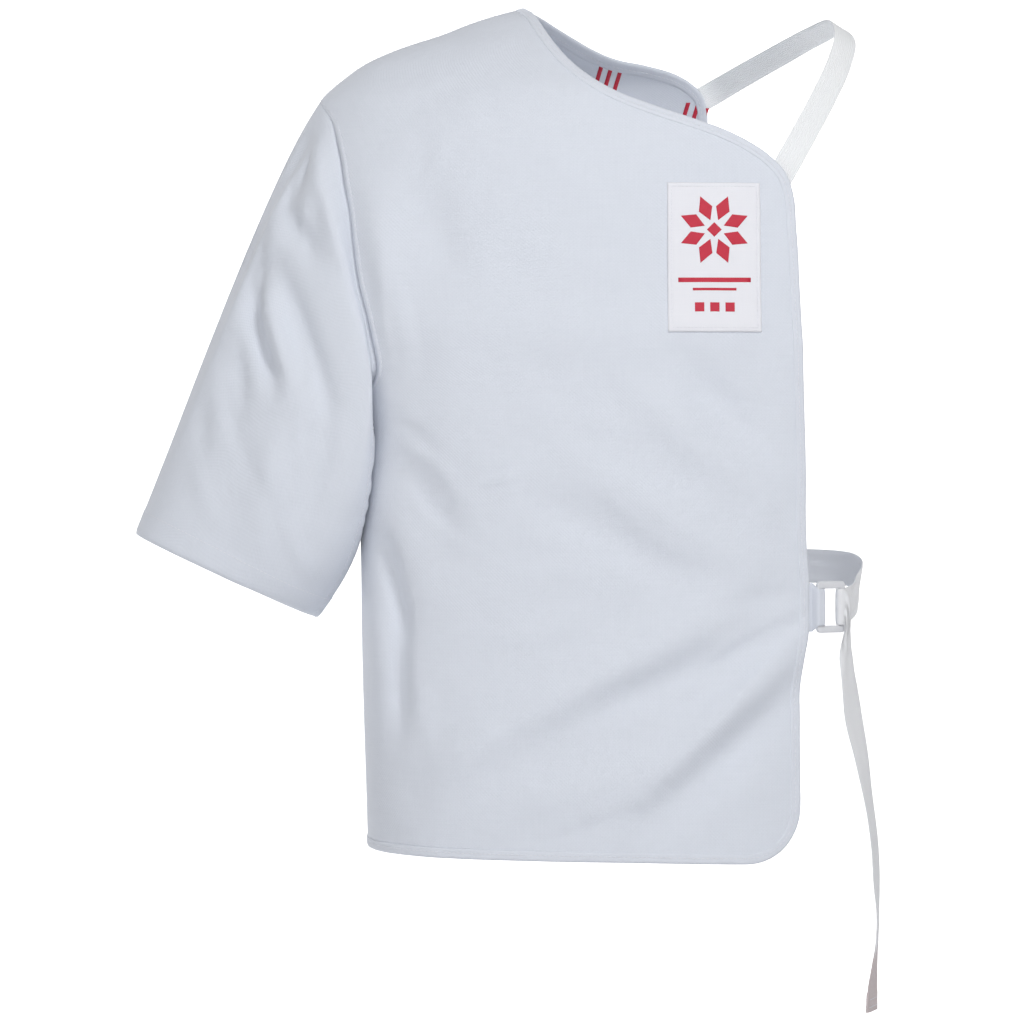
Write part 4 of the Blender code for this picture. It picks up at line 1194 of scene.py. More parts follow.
@dataclass(frozen=True)
class Sleeve:
    """The short sleeve, from the armhole to its turned cuff."""

    cut: PanelCut
    back_cut: PanelCut
    finishes: "Finishes"
    rings: int = 128
    crowding: float = 1.25
    head_share: float = 0.3
    cuff_centre: tuple[float, float, float] = (-281.0, -3.0, -408.2)
    cuff_half_width: float = 72.2
    cuff_half_depth: float = 60.0
    cuff_tilt: float = 24.8
    cuff_squareness: float = 2.25
    clearance: float = 3.0
    lean: tuple[float, float, float] = (-1.0, 32.0, 88.0)
    leaving: tuple[float, float, float] = (57.0, 42.0, 10.0)
    outer_way: tuple[float, float, float] = (-0.37, 0.0, -0.929)
    inner_way: tuple[float, float, float] = (-0.51, 0.0, -0.86)
    arriving: tuple[float, float] = (100.0, 68.0)
    tuck: float = 4.0
    front_tuck: float = 82.0
    front_push: float = 45.0
    front_start: float = 0.55
    sewn_gap: float = 0.06
    seam_dip: float = 2.6
    seam_dip_width: float = 6.0
    hem_width: float = 19.0
    seam_turns: tuple[float, ...] = (3.0, 2.75, 2.5, 2.36, 2.4, 2.58, 2.86)

    def armhole_ring(self) -> tuple[np.ndarray, np.ndarray, np.ndarray, np.ndarray]:
        """Points, outward and departing directions and shares round the armhole, front first."""
        heights, angles = self.cut.armhole_line()
        back_angles = self.back_cut.armhole_line()[1]
        front = FRONT_CLOTH.draped(angles, heights)
        front_normal = FRONT_CLOTH.normal(angles, heights)
        back = BACK_CLOTH.draped(back_angles[::-1][1:-1], heights[::-1][1:-1])
        back_normal = BACK_CLOTH.normal(back_angles[::-1][1:-1], heights[::-1][1:-1])
        points = np.concatenate([front, back])
        normals = np.concatenate([front_normal, back_normal])
        span = len(points) // 28
        along = unit(np.roll(points, -span, axis=0) - np.roll(points, span, axis=0))
        away = unit(np.cross(normals, along))
        turned = np.sum(away * (points.mean(axis=0) - points), axis=1) < 0
        away[turned] *= -1
        steps = np.linspace(0, 1, len(heights))
        shares = np.concatenate([steps, steps[::-1][1:-1]])
        away[:, 1] *= ease(shares / self.head_share)
        return points, normals, unit(away), shares

    def cuff_ring(self, turns: np.ndarray) -> np.ndarray:
        """The opening: a flat rounded ring, tilted down towards the body."""
        tilt = math.radians(self.cuff_tilt)
        along = np.array([math.cos(tilt), 0, -math.sin(tilt)])
        across = -np.cos(turns)
        through = -np.sin(turns)
        power = self.cuff_squareness
        reach = (np.abs(across) ** power + np.abs(through) ** power) ** (-1 / power)
        sideways = (across * reach * self.cuff_half_width)[:, None] * along
        forward = (through * reach * self.cuff_half_depth)[:, None] * np.array([0.0, 1.0, 0.0])
        return np.array(self.cuff_centre) + sideways + forward

    def clear_of_body(self, points: np.ndarray, clearance: np.ndarray) -> np.ndarray:
        """Moves points that would touch the body's side out to a clearance from it."""
        height = points[..., 2]
        power = FIGURE.size("squareness", height)
        half_width = FIGURE.size("half_width", height) + clearance
        front = FIGURE.size("front_depth", height)
        back = FIGURE.size("back_depth", height)
        depth = np.where(points[..., 1] < 0, front, back) + clearance
        level = (np.abs(points[..., 0]) / half_width) ** power + (np.abs(points[..., 1]) / depth) ** power
        below = ease((-262 - height) / 34)
        scale = 1 + (np.maximum(level, 1e-6) ** (-1 / power) - 1) * (level < 1) * below
        moved = points.copy()
        moved[..., 0] *= scale
        moved[..., 1] *= scale
        return moved

    @staticmethod
    def directions(points: np.ndarray) -> np.ndarray:
        """Outward directions of a tube whose columns go round from the top by the front."""
        down = np.gradient(points, axis=0)
        around = np.roll(points, -1, axis=1) - np.roll(points, 1, axis=1)
        return unit(np.cross(down, around))

    def surface(self) -> tuple[np.ndarray, np.ndarray]:
        """Outer points and directions of the sleeve, with its folds, creases, seam and hem."""
        start, start_normals, away, shares = self.armhole_ring()
        turns = 2 * math.pi * np.arange(len(start)) / len(start)
        end = self.cuff_ring(turns)
        under = (1 - np.cos(turns)) / 2
        tip_lean, side_lean, under_lean = self.lean
        lean = tip_lean + (side_lean - tip_lean) * ease(shares / 0.45)
        lean = np.radians(lean + (under_lean - side_lean) * ease((shares - 0.7) / 0.28))
        leaving = away * np.cos(lean)[:, None] + start_normals * np.sin(lean)[:, None]
        tip_length, side_length, under_length = self.leaving
        length = tip_length + (side_length - tip_length) * ease(shares / 0.5)
        length = length + (under_length - side_length) * ease((shares - 0.6) / 0.4)
        outer_way = np.array(self.outer_way)
        arriving = unit(outer_way + (np.array(self.inner_way) - outer_way) * (under**2)[:, None])
        arriving_length = self.arriving[0] + (self.arriving[1] - self.arriving[0]) * under
        first = start + away * self.sewn_gap
        second = first + leaving * length[:, None]
        third = end - arriving * arriving_length[:, None]
        third[:, 0] += self.tuck * under**3
        bulge = np.outer(np.clip(np.sin(turns), 0, None) * under, [self.front_tuck, -self.front_push, 0.0])
        second = second + bulge * self.front_start
        third = third + bulge
        steps = np.linspace(0, 1, self.rings + 1) ** self.crowding
        t = steps[:, None, None]
        rest = 1 - t
        points = rest**3 * first + 3 * rest**2 * t * second + 3 * rest * t * t * third + t**3 * end
        points = self.clear_of_body(points, self.clearance * ease(steps / 0.12)[:, None])
        points[0] = first
        fade = ease(steps / 0.15)[:, None]
        points = self._folded(points, ((Side.FRONT, SLEEVE_FOLDS), (Side.BACK, SLEEVE_BACK_FOLDS)), fade, 0.0)
        fine = ((Side.FRONT, SLEEVE_CREASES), (Side.BACK, SLEEVE_BACK_CREASES))
        points = self._folded(points, fine, ease(steps / 0.08)[:, None], 1.0)
        normals = self.directions(points)
        normals[0] = start_normals
        points = points + normals * self._sewn_rise(points, turns, shares)[..., None]
        return points, normals

    def _folded(
        self,
        points: np.ndarray,
        folds: Sequence[tuple[Side, tuple[Fold, ...]]],
        fade: np.ndarray,
        uneven: float,
    ) -> np.ndarray:
        """Lifts folds of the front and the back side out of the tube.

        Args:
            points: the tube's points.
            folds: the folds of each side.
            fade: how much of them shows at each ring.
            uneven: size of the soft unevenness.

        Returns:
            The moved points.
        """
        normals = self.directions(points)
        for side, table in folds:
            lift = fold_lift(table, points[..., 0], points[..., 2])
            if uneven:
                lift = lift + rumple(points[..., 0] + 400, points[..., 2], uneven, 95.0)
            points = points + normals * (lift * facing(side, normals) * fade)[..., None]
        return points

    def _seam_turns(self, count: int) -> np.ndarray:
        """How far round the tube the underarm seam lies at each of a count of rings."""
        table = [(number, turn, 0.0) for number, turn in enumerate(self.seam_turns)]
        return smooth_path(np.array(table), count)[:, 1]

    def _sewn_rise(self, points: np.ndarray, turns: np.ndarray, shares: np.ndarray) -> np.ndarray:
        """The grooves and ridges of the armhole seam, the underarm seam and the cuff's hem."""
        down = np.linalg.norm(np.diff(points, axis=0), axis=2)
        from_seam = np.concatenate([np.zeros((1, points.shape[1])), np.cumsum(down, axis=0)])
        to_cuff = from_seam[-1] - from_seam
        girth = np.linalg.norm(np.roll(points, -1, axis=1) - points, axis=2).sum(axis=1, keepdims=True)
        aside = (turns - self._seam_turns(len(points))[:, None]) / (2 * math.pi) * girth
        armhole = -0.9 * np.exp(-((from_seam / 2.0) ** 2)) + 0.4 * np.exp(-(((from_seam - 5) / 3.0) ** 2))
        armhole = armhole * (0.08 + 0.92 * ease((shares - 0.10) / 0.22))
        drawn_in = ease((shares - 0.10) / 0.2) * ease((0.98 - shares) / 0.2)
        dip = self.seam_dip * np.exp(-(((from_seam - 1.5) / self.seam_dip_width) ** 2))
        armhole = armhole - dip * drawn_in
        underarm = 1.3 * np.exp(-((aside / 1.5) ** 2)) - 1.1 * np.exp(-(((aside - 3.6) / 2.0) ** 2))
        hem = 0.4 * ease((self.hem_width - to_cuff) / 1.6) - 0.8 * ease((3.2 - to_cuff) / 3.2)
        return armhole + underarm * ease(from_seam / 12) + hem

    def build(self) -> None:
        """Makes the sleeve's cloth and its sewing."""
        points, normals = self.surface()
        closed = np.concatenate([points, points[:, :1]], axis=1)
        around = np.linalg.norm(np.diff(closed, axis=1), axis=2)
        across = np.concatenate([np.zeros((len(points), 1)), np.cumsum(around, axis=1)], axis=1)
        across = across * (across[len(across) // 2, -1] / across[:, -1:])
        steps = np.linalg.norm(np.diff(closed, axis=0), axis=2)
        down = np.concatenate([np.zeros((1, closed.shape[1])), np.cumsum(steps, axis=0)])
        to_cuff = (down[-1] - down)[:, :-1]
        thickness = WALL + 1.2 * ease((self.hem_width - to_cuff) / 1.6)
        coordinates = np.stack([across, -down], axis=-1)
        cloth = shell_object("sleeve_cloth", points, normals, thickness, coordinates, wrapped=True)
        Piece(cloth.name, "cloth", self.finishes.cloth, ("sleeve",)).dress(cloth)
        hem_line = self._ring_line(points, normals, to_cuff, self.hem_width - 1.5)
        lines = [hem_line, self._seam_line(points, normals)]
        thread = Thread(radius=0.2)
        sewing = thread.sew("sleeve_stitches", lines, "cloth", self.finishes.thread)

    @staticmethod
    def _ring_line(points: np.ndarray, normals: np.ndarray, to_cuff: np.ndarray, width: float) -> np.ndarray:
        """The hem's sewing line, at a distance from the cuff."""
        line = []
        for column in range(points.shape[1]):
            table = np.concatenate([points[:, column], normals[:, column]], axis=1)[::-1]
            line.append([np.interp(width, to_cuff[::-1, column], table[:, i]) for i in range(6)])
        line.append(line[0])
        return np.array(line)

    def _seam_line(self, points: np.ndarray, normals: np.ndarray) -> np.ndarray:
        """The topstitching beside the underarm seam."""
        rings = np.arange(3, len(points))
        place = (self._seam_turns(len(points))[3:] - 0.09) / (2 * math.pi) * points.shape[1]
        column = place.astype(int)
        share = (place - column)[:, None]
        table = np.concatenate([points, normals], axis=2)
        return table[rings, column] * (1 - share) + table[rings, column + 1] * share


def ribbon_sections(
    centres: np.ndarray,
    halves: np.ndarray,
    thickness: np.ndarray | float,
    across: int,
    lift: np.ndarray | None = None,
) -> np.ndarray:
    """Sections of a flat tape with thin rounded edges.

    Args:
        centres: the tape's middle line.
        halves: from the middle to the edge at each place.
        thickness: the tape's thickness.
        across: points across each face.
        lift: how far each point across stands out of the tape's plane, one row for each place.

    Returns:
        A grid of points, one section a row.
    """
    along = unit(np.gradient(centres, axis=0))
    faces = unit(np.cross(along, halves))
    share = np.sin(np.linspace(-math.pi / 2, math.pi / 2, across))
    half_thick = np.broadcast_to(thickness, len(centres))[:, None] / 2 * (1 - share**8 * 0.75)
    middle = centres[:, None] + halves[:, None] * share[None, :, None]
    if lift is not None:
        middle = middle + faces[:, None] * lift[..., None]
    upper = middle + faces[:, None] * half_thick[..., None]
    lower = middle - faces[:, None] * half_thick[..., None]
    return np.concatenate([lower, upper[:, ::-1]], axis=1)


def ribbon_object(name: str, sections: np.ndarray, half_width: float) -> bpy.types.Object:
    """A tape from its sections, with coordinates across and along it in millimetres."""
    along = lengths_along(sections.mean(axis=1))
    half = sections.shape[1] // 2
    share = np.sin(np.linspace(-math.pi / 2, math.pi / 2, half)) * half_width
    across = np.concatenate([share, share[::-1], share[:1]])
    return swept_object(name, sections, np.stack(np.meshgrid(across, along), axis=-1))


@dataclass(frozen=True)
class ChestPatch:
    """The sewn patch on the chest, with a plain red print of its own."""

    finishes: "Finishes"
    left: float = 31.0
    right: float = 95.5
    top: float = -135.0
    bottom: float = -239.0
    gap: float = 0.55
    thickness: float = 0.8
    sewn_inset: float = 2.8
    columns: int = 52
    rows: int = 84

    def _surface(
        self, x: np.ndarray, height: np.ndarray, away: np.ndarray | float
    ) -> tuple[np.ndarray, np.ndarray]:
        """Places over the chest's cloth, and the outward directions."""
        angle = FIGURE.angle_at(x, height)
        normal = FRONT_CLOTH.normal(angle, height)
        return FRONT_CLOTH.point(angle, height) + normal * np.broadcast_to(away, x.shape)[..., None], normal

    def build(self) -> None:
        """Makes the patch, its rim stitches and its print."""
        across = np.linspace(self.left, self.right, self.columns + 1)
        upward = np.linspace(self.bottom, self.top, self.rows + 1)
        x, height = np.meshgrid(across, upward)
        from_rim = np.minimum.reduce([x - self.left, self.right - x, height - self.bottom, self.top - height])
        away = self.gap + self.thickness - 0.5 * np.exp(-(from_rim**2))
        away = away - 0.22 * np.exp(-(((from_rim - self.sewn_inset) / 1.1) ** 2))
        away = away + 0.10 * np.sin(x / 9.0) * np.sin(height / 13.0)
        outer, normal = self._surface(x, height, away)
        coordinates = np.stack([x, height], axis=-1)
        cloth = shell_object("chest_patch", outer, normal, self.thickness, coordinates)
        Piece(cloth.name, "patch", self.finishes.patch, ("label_patch",)).dress(cloth)
        lines = [self._rim_line(self.sewn_inset)]
        thread = Thread(pitch=2.6, length=1.9, radius=0.2)
        sewing = thread.sew("patch_stitches", lines, "patch", self.finishes.thread)
        shapes = self._print_shapes()
        print_piece = self._print("patch_print", shapes)
        Piece(print_piece.name, "patch", self.finishes.red).dress(print_piece)

    def _rim_line(self, inset: float) -> np.ndarray:
        """The sewing line inside the rim."""
        left = self.left + inset
        right = self.right - inset
        top = self.top - inset
        bottom = self.bottom + inset
        corners = np.array([(left, bottom), (right, bottom), (right, top), (left, top), (left, bottom)])
        lengths = lengths_along(corners)
        at = np.arange(0, lengths[-1], 1.0)
        x = np.interp(at, lengths, corners[:, 0])
        height = np.interp(at, lengths, corners[:, 1])
        points, normal = self._surface(x, height, self.gap + self.thickness - 0.1)
        return np.concatenate([points, normal], axis=1)

    def _print_shapes(self) -> list[np.ndarray]:
        """Outlines of the print: a rosette of eight lozenges, two rules and three squares."""
        centre = np.array([(self.left + self.right) / 2, self.top - 33.0])
        shapes = []
        for number in range(8):
            turn = math.radians(45.0 * number + 22.5)
            out = np.array([math.cos(turn), math.sin(turn)])
            beside = np.array([-out[1], out[0]])
            shapes.append(
                np.array([centre + out * 7.0, centre + out * 15.5 - beside * 5.0, centre + out * 25.0,
                          centre + out * 15.5 + beside * 5.0])
            )
        shapes.append(self._box(centre, 3.6, 3.6, 45.0))
        middle = centre[0]
        shapes.append(self._box(np.array([middle, self.top - 68.0]), 25.0, 1.6, 0.0))
        shapes.append(self._box(np.array([middle, self.top - 74.5]), 15.0, 0.9, 0.0))
        for step in (-1, 0, 1):
            shapes.append(self._box(np.array([middle + 10.5 * step, self.top - 87.0]), 3.2, 3.2, 0.0))
        return shapes

    @staticmethod
    def _box(centre: np.ndarray, half_width: float, half_height: float, turn: float) -> np.ndarray:
        """A turned rectangle's corners."""
        angle = math.radians(turn)
        right = np.array([math.cos(angle), math.sin(angle)]) * half_width
        up = np.array([-math.sin(angle), math.cos(angle)]) * half_height
        return np.array([centre - right - up, centre + right - up, centre + right + up, centre - right + up])

    def _print(self, name: str, shapes: Sequence[np.ndarray]) -> bpy.types.Object:
        """Thin raised ink: each four-cornered shape is laid on the patch as its own fine grid."""
        points = []
        faces = []
        base = 0
        steps = 14
        for shape in shapes:
            s, t = np.meshgrid(np.linspace(0, 1, steps + 1), np.linspace(0, 1, steps + 1))
            flat = (
                shape[0] * ((1 - s) * (1 - t))[..., None]
                + shape[1] * (s * (1 - t))[..., None]
                + shape[2] * (s * t)[..., None]
                + shape[3] * ((1 - s) * t)[..., None]
            )
            rise = 0.10 * np.sin(flat[..., 0] / 9.0) * np.sin(flat[..., 1] / 13.0)
            surface = self.gap + self.thickness + rise
            top, _ = self._surface(flat[..., 0], flat[..., 1], surface + 0.09)
            low, _ = self._surface(flat[..., 0], flat[..., 1], surface - 0.25)
            grid, _ = grid_faces(steps + 1, steps + 1, False)
            count = (steps + 1) ** 2
            index = np.arange(count).reshape(steps + 1, steps + 1)
            rims = [index[0], index[-1][::-1], index[::-1, 0], index[:, -1]]
            walls = [np.stack([e[1:], e[:-1], e[:-1] + count, e[1:] + count], axis=1) for e in rims]
            faces.append(np.concatenate([grid, grid[:, ::-1] + count, *walls]) + base)
            points += [top.reshape(-1, 3), low.reshape(-1, 3)]
            base += 2 * count
        return mesh_object(name, np.concatenate(points), np.concatenate(faces))


@dataclass(frozen=True)
class InsideMarks:
    """Plain slanted bars printed in red inside the back, under the neckline."""

    finishes: "Finishes"
    groups: tuple[Place, ...] = (Place(-5.0, -39.0), Place(60.5, -66.0))
    in_group: int = 3
    pitch: float = 7.0
    bar_width: float = 3.2
    bar_height: float = 15.0
    slant: float = 4.5

    def build(self) -> None:
        """Makes the row of bars as one thin mesh on the cloth's inner side."""
        points = []
        faces = []
        steps = 8
        grid, _ = grid_faces(steps + 1, 3, False)
        for number in range(self.in_group * len(self.groups)):
            group = self.groups[number // self.in_group]
            x = group.x + (number % self.in_group - (self.in_group - 1) / 2) * self.pitch
            height = group.height - 0.3 * (x - group.x)
            across, up = np.meshgrid(np.linspace(-0.5, 0.5, 3), np.linspace(-0.5, 0.5, steps + 1))
            at_x = x + across * self.bar_width + up * self.slant
            at_height = height + up * self.bar_height
            angle = FIGURE.angle_at(at_x, at_height)
            normal = BACK_CLOTH.normal(angle, at_height)
            cloth = BACK_CLOTH.point(angle, at_height) - normal * WALL
            inner = cloth - normal * 0.12
            outer = cloth + normal * 0.3
            base = sum(len(block) for block in points)
            block = inner.reshape(-1, 3)
            count = len(block)
            index = np.arange(count).reshape(steps + 1, 3)
            rims = [index[0], index[-1][::-1], index[::-1, 0], index[:, -1]]
            walls = [np.stack([e[1:], e[:-1], e[:-1] + count, e[1:] + count], axis=1) for e in rims]
            faces.append(np.concatenate([grid, grid[:, ::-1] + count, *walls]) + base)
            points.append(np.concatenate([block, outer.reshape(-1, 3)]))
        marks = mesh_object("inside_marks", np.concatenate(points), np.concatenate(faces))
        Piece(marks.name, "cloth", self.finishes.red).dress(marks)


@dataclass(frozen=True)
class StrapPoint:
    """A place of the shoulder strap's middle line and the way that its outer face looks."""

    x: float
    y: float
    height: float
    out_x: float
    out_y: float
    out_z: float


@dataclass(frozen=True)
class ShoulderStrap:
    """Elastic over the free shoulder, sewn outside the back's top corner and inside the front's."""

    finishes: "Finishes"
    width: float = 18.0
    thickness: float = 1.4
    on_back: tuple[Place, ...] = (Place(46.0, -67.0), Place(58.0, -59.0))
    in_front: tuple[Place, ...] = (Place(111.5, -128.0), Place(104.0, -141.0), Place(97.0, -154.0))
    over: tuple[StrapPoint, ...] = (
        StrapPoint(74.0, 103.5, -49.5, 0.10, 0.95, 0.30),
        StrapPoint(92.0, 91.0, -40.0, 0.20, 0.85, 0.50),
        StrapPoint(119.0, 65.0, -27.0, 0.35, 0.65, 0.70),
        StrapPoint(144.0, 33.0, -16.0, 0.45, 0.35, 0.85),
        StrapPoint(159.0, 5.0, -12.5, 0.50, 0.00, 0.90),
        StrapPoint(162.0, -17.0, -23.5, 0.50, -0.35, 0.75),
        StrapPoint(156.0, -39.0, -44.0, 0.45, -0.60, 0.60),
        StrapPoint(143.0, -62.0, -71.0, 0.40, -0.75, 0.50),
        StrapPoint(127.0, -80.0, -100.0, 0.35, -0.85, 0.40),
    )
    sections: int = 190

    def build(self) -> None:
        """Makes the strap and the boxes of sewing at its ends."""
        clear = BINDING_PROUD + SEAM_GAP + self.thickness / 2 + STRAP_EASE
        rows = []
        for place in self.on_back:
            point, outward = BACK_CLOTH.beside(place.x, place.height, clear)
            rows.append([*point, *outward])
        rows += [[p.x, p.y, p.height, p.out_x, p.out_y, p.out_z] for p in self.over]
        for place in self.in_front:
            point, outward = FRONT_CLOTH.beside(place.x, place.height, -WALL - clear)
            rows.append([*point, *outward])
        line = smooth_path(rows, self.sections)
        along = unit(np.gradient(line[:, :3], axis=0))
        sideways = unit(np.cross(along, line[:, 3:])) * (self.width / 2)
        distance = lengths_along(line[:, :3])
        share = np.linspace(-1, 1, 13)
        curl = 0.45 * np.sin(distance / 21.0)[:, None] * (1 - share**2)
        curl = curl + 0.12 * np.sin(distance / 6.0)[:, None] * share
        free = ease((distance - 30) / 20) * ease((distance[-1] - 45 - distance) / 20)
        sections = ribbon_sections(line[:, :3], sideways, self.thickness, 13, curl * free[:, None])
        strap = ribbon_object("shoulder_elastic", sections, self.width / 2)
        Piece(strap.name, "elastic", self.finishes.elastic, ("shoulder_strap",)).dress(strap)
        thread = Thread(pitch=2.4, length=1.8, radius=0.22)
        lines = self._boxes(line, sideways)
        sewing = thread.sew("elastic_stitches", lines, "elastic", self.finishes.thread)

    def _boxes(self, line: np.ndarray, sideways: np.ndarray) -> list[np.ndarray]:
        """A box of stitches at each sewn end, on the strap's free face."""
        faces = unit(np.cross(unit(np.gradient(line[:, :3], axis=0)), sideways))
        lines = []
        for first, last, sign in ((4, 15, 1.0), (self.sections - 17, self.sections - 5, -1.0)):
            facing = faces * (sign if np.sum(faces[first] * line[first, 3:]) > 0 else -sign)
            top = line[:, :3] + facing * (self.thickness / 2 - 0.05)
            for share in (-0.72, 0.72):
                run = slice(first, last + 1)
                lines.append(np.concatenate([(top + sideways * share)[run], facing[run]], axis=1))
            for at in (first, last):
                row = top[at] + sideways[at] * np.linspace(-0.72, 0.72, 12)[:, None]
                lines.append(np.concatenate([row, np.tile(facing[at], (12, 1))], axis=1))
        return lines


@dataclass(frozen=True)
class Buckle:
    """The moulded frame with one tall slot."""

    finishes: "Finishes"
    centre: tuple[float, float, float] = (145.4, -87.0, -429.0)
    turn: float = 35.0
    length: float = 25.0
    height: float = 36.0
    bar: float = 4.0
    end_bar: float = 4.5
    thickness: float = 3.0

    def place(
        self, along: np.ndarray | float, out: np.ndarray | float, up: np.ndarray | float = 0.0
    ) -> np.ndarray:
        """A place in the figure from one in the buckle's own plane."""
        angle = math.radians(self.turn)
        forward = np.array([math.cos(angle), math.sin(angle), 0])
        outward = np.array([math.sin(angle), -math.cos(angle), 0])
        along, out, up = np.broadcast_arrays(along, out, up)
        rise = np.array([0.0, 0.0, 1.0])
        across = along[..., None] * forward + out[..., None] * outward
        return np.array(self.centre) + across + up[..., None] * rise

    def build(self) -> None:
        """Makes the frame as a soft section swept round the slot."""
        corner = 3.2
        half_length = self.length / 2
        half_height = self.height / 2
        outline = []
        for quarter, (sign_x, sign_z) in enumerate(((1, 1), (-1, 1), (-1, -1), (1, -1))):
            for step in range(9):
                angle = math.radians(90 * quarter + 11.25 * step)
                flat = np.array([math.cos(angle), math.sin(angle)])
                across = sign_x * (half_length - corner) + corner * flat[0]
                upward = sign_z * (half_height - corner) + corner * flat[1]
                outline.append([across, upward])
        outline = np.array(outline)
        inset = np.array([half_length - self.bar, half_height - self.end_bar])
        inner = np.sign(outline) * np.minimum(np.abs(outline), inset)
        pull = np.array([0.8, 0.8]) * (np.abs(outline) > inset).all(axis=1)[:, None]
        inner = inner - np.sign(outline) * pull
        turns = 2 * math.pi * np.arange(16) / 16
        power = 2 / 4.5
        depth = np.sign(np.sin(turns)) * np.abs(np.sin(turns)) ** power * self.thickness / 2
        spread = (1 + np.sign(np.cos(turns)) * np.abs(np.cos(turns)) ** power) / 2
        flat = inner[:, None] + (outline - inner)[:, None] * spread[None, :, None]
        points = self.place(flat[..., 0], np.broadcast_to(depth, flat.shape[:2]), flat[..., 1])
        points = np.concatenate([points, points[:1]])
        rows, columns = points.shape[:2]
        faces, _ = grid_faces(rows, columns, True)
        obj = mesh_object("buckle", points, faces)
        Piece(obj.name, "plastic", self.finishes.plastic, ("buckle_frame",)).dress(obj)


@dataclass(frozen=True)
class BuckleTab:
    """The doubled tab that holds the buckle, sewn inside the front's free edge."""

    finishes: "Finishes"
    buckle: Buckle
    height: float = 34.0
    at_buckle: float = 25.4
    thickness: float = 1.2
    places: tuple[float, ...] = (104.0, 113.0, 123.0, 133.8)
    sewn_at: tuple[int, ...] = (33, 36)

    def build(self) -> None:
        """Makes the tab's two layers and its sewing."""
        radius = self.buckle.thickness / 2 + SEAM_GAP + self.thickness / 2
        clear = BINDING_PROUD + SEAM_GAP + self.thickness / 2 + STRAP_EASE
        level = self.buckle.centre[2]
        layers = self.thickness + SEAM_GAP
        outer = [FRONT_CLOTH.beside(x, level, -WALL - clear)[0] for x in self.places]
        inner = [FRONT_CLOTH.beside(x, level, -WALL - clear - layers)[0] for x in self.places]
        near = -self.buckle.length / 2
        centre = near + self.buckle.bar
        turns = np.radians(np.linspace(90, -90, 13))
        bend = [self.buckle.place(near, radius)]
        bend += [self.buckle.place(centre + radius * math.cos(a), radius * math.sin(a)) for a in turns]
        bend.append(self.buckle.place(near, -radius))
        heights = [self.height] * len(outer) + [self.at_buckle] * len(bend) + [self.height] * len(inner)
        rows = np.concatenate([np.array(outer + bend + inner[::-1]), np.array(heights)[:, None]], axis=1)
        fine = resampled(rows, np.linspace(0, lengths_along(rows[:, :3])[-1], 110))
        halves = np.zeros((len(fine), 3))
        halves[:, 2] = fine[:, 3] / 2
        sections = ribbon_sections(fine[:, :3], halves, self.thickness, 15)
        tab = ribbon_object("buckle_tab_loop", sections, self.height / 2)
        Piece(tab.name, "webbing", self.finishes.tape, ("buckle_tab",)).dress(tab)
        thread = Thread(pitch=2.4, length=1.8, radius=0.24)
        sewing = thread.sew("tab_stitches", self._sewn(fine, halves), "webbing", self.finishes.thread)

    def _sewn(self, line: np.ndarray, halves: np.ndarray) -> list[np.ndarray]:
        """Two rows of stitches up the tab's outer layer, beside the loop for the buckle."""
        faces = unit(np.cross(unit(np.gradient(line[:, :3], axis=0)), halves))
        lines = []
        for at in self.sewn_at:
            outward = faces[at] if faces[at, 1] < 0 else -faces[at]
            across = np.linspace(-0.82, 0.82, 20)[:, None]
            rows = line[at, :3] + outward * (self.thickness / 2 - 0.05) + halves[at] * across
            lines.append(np.concatenate([rows, np.tile(outward, (20, 1))], axis=1))
        return lines


@dataclass(frozen=True)
class RoundPoint:
    """A place of the waist strap's middle line round the open side."""

    x: float
    y: float
    height: float


@dataclass(frozen=True)
class TurnPoint:
    """Where the webbing's two edges lie as it bunches over the far bar, and how far out of the bar."""

    upper_along: float
    upper_up: float
    lower_along: float
    lower_up: float
    out: float


@dataclass(frozen=True)
class HangPoint:
    """A place of the hanging end, the turn of its width from facing the front, and its half width."""

    x: float
    y: float
    height: float
    turn: float
    half_width: float


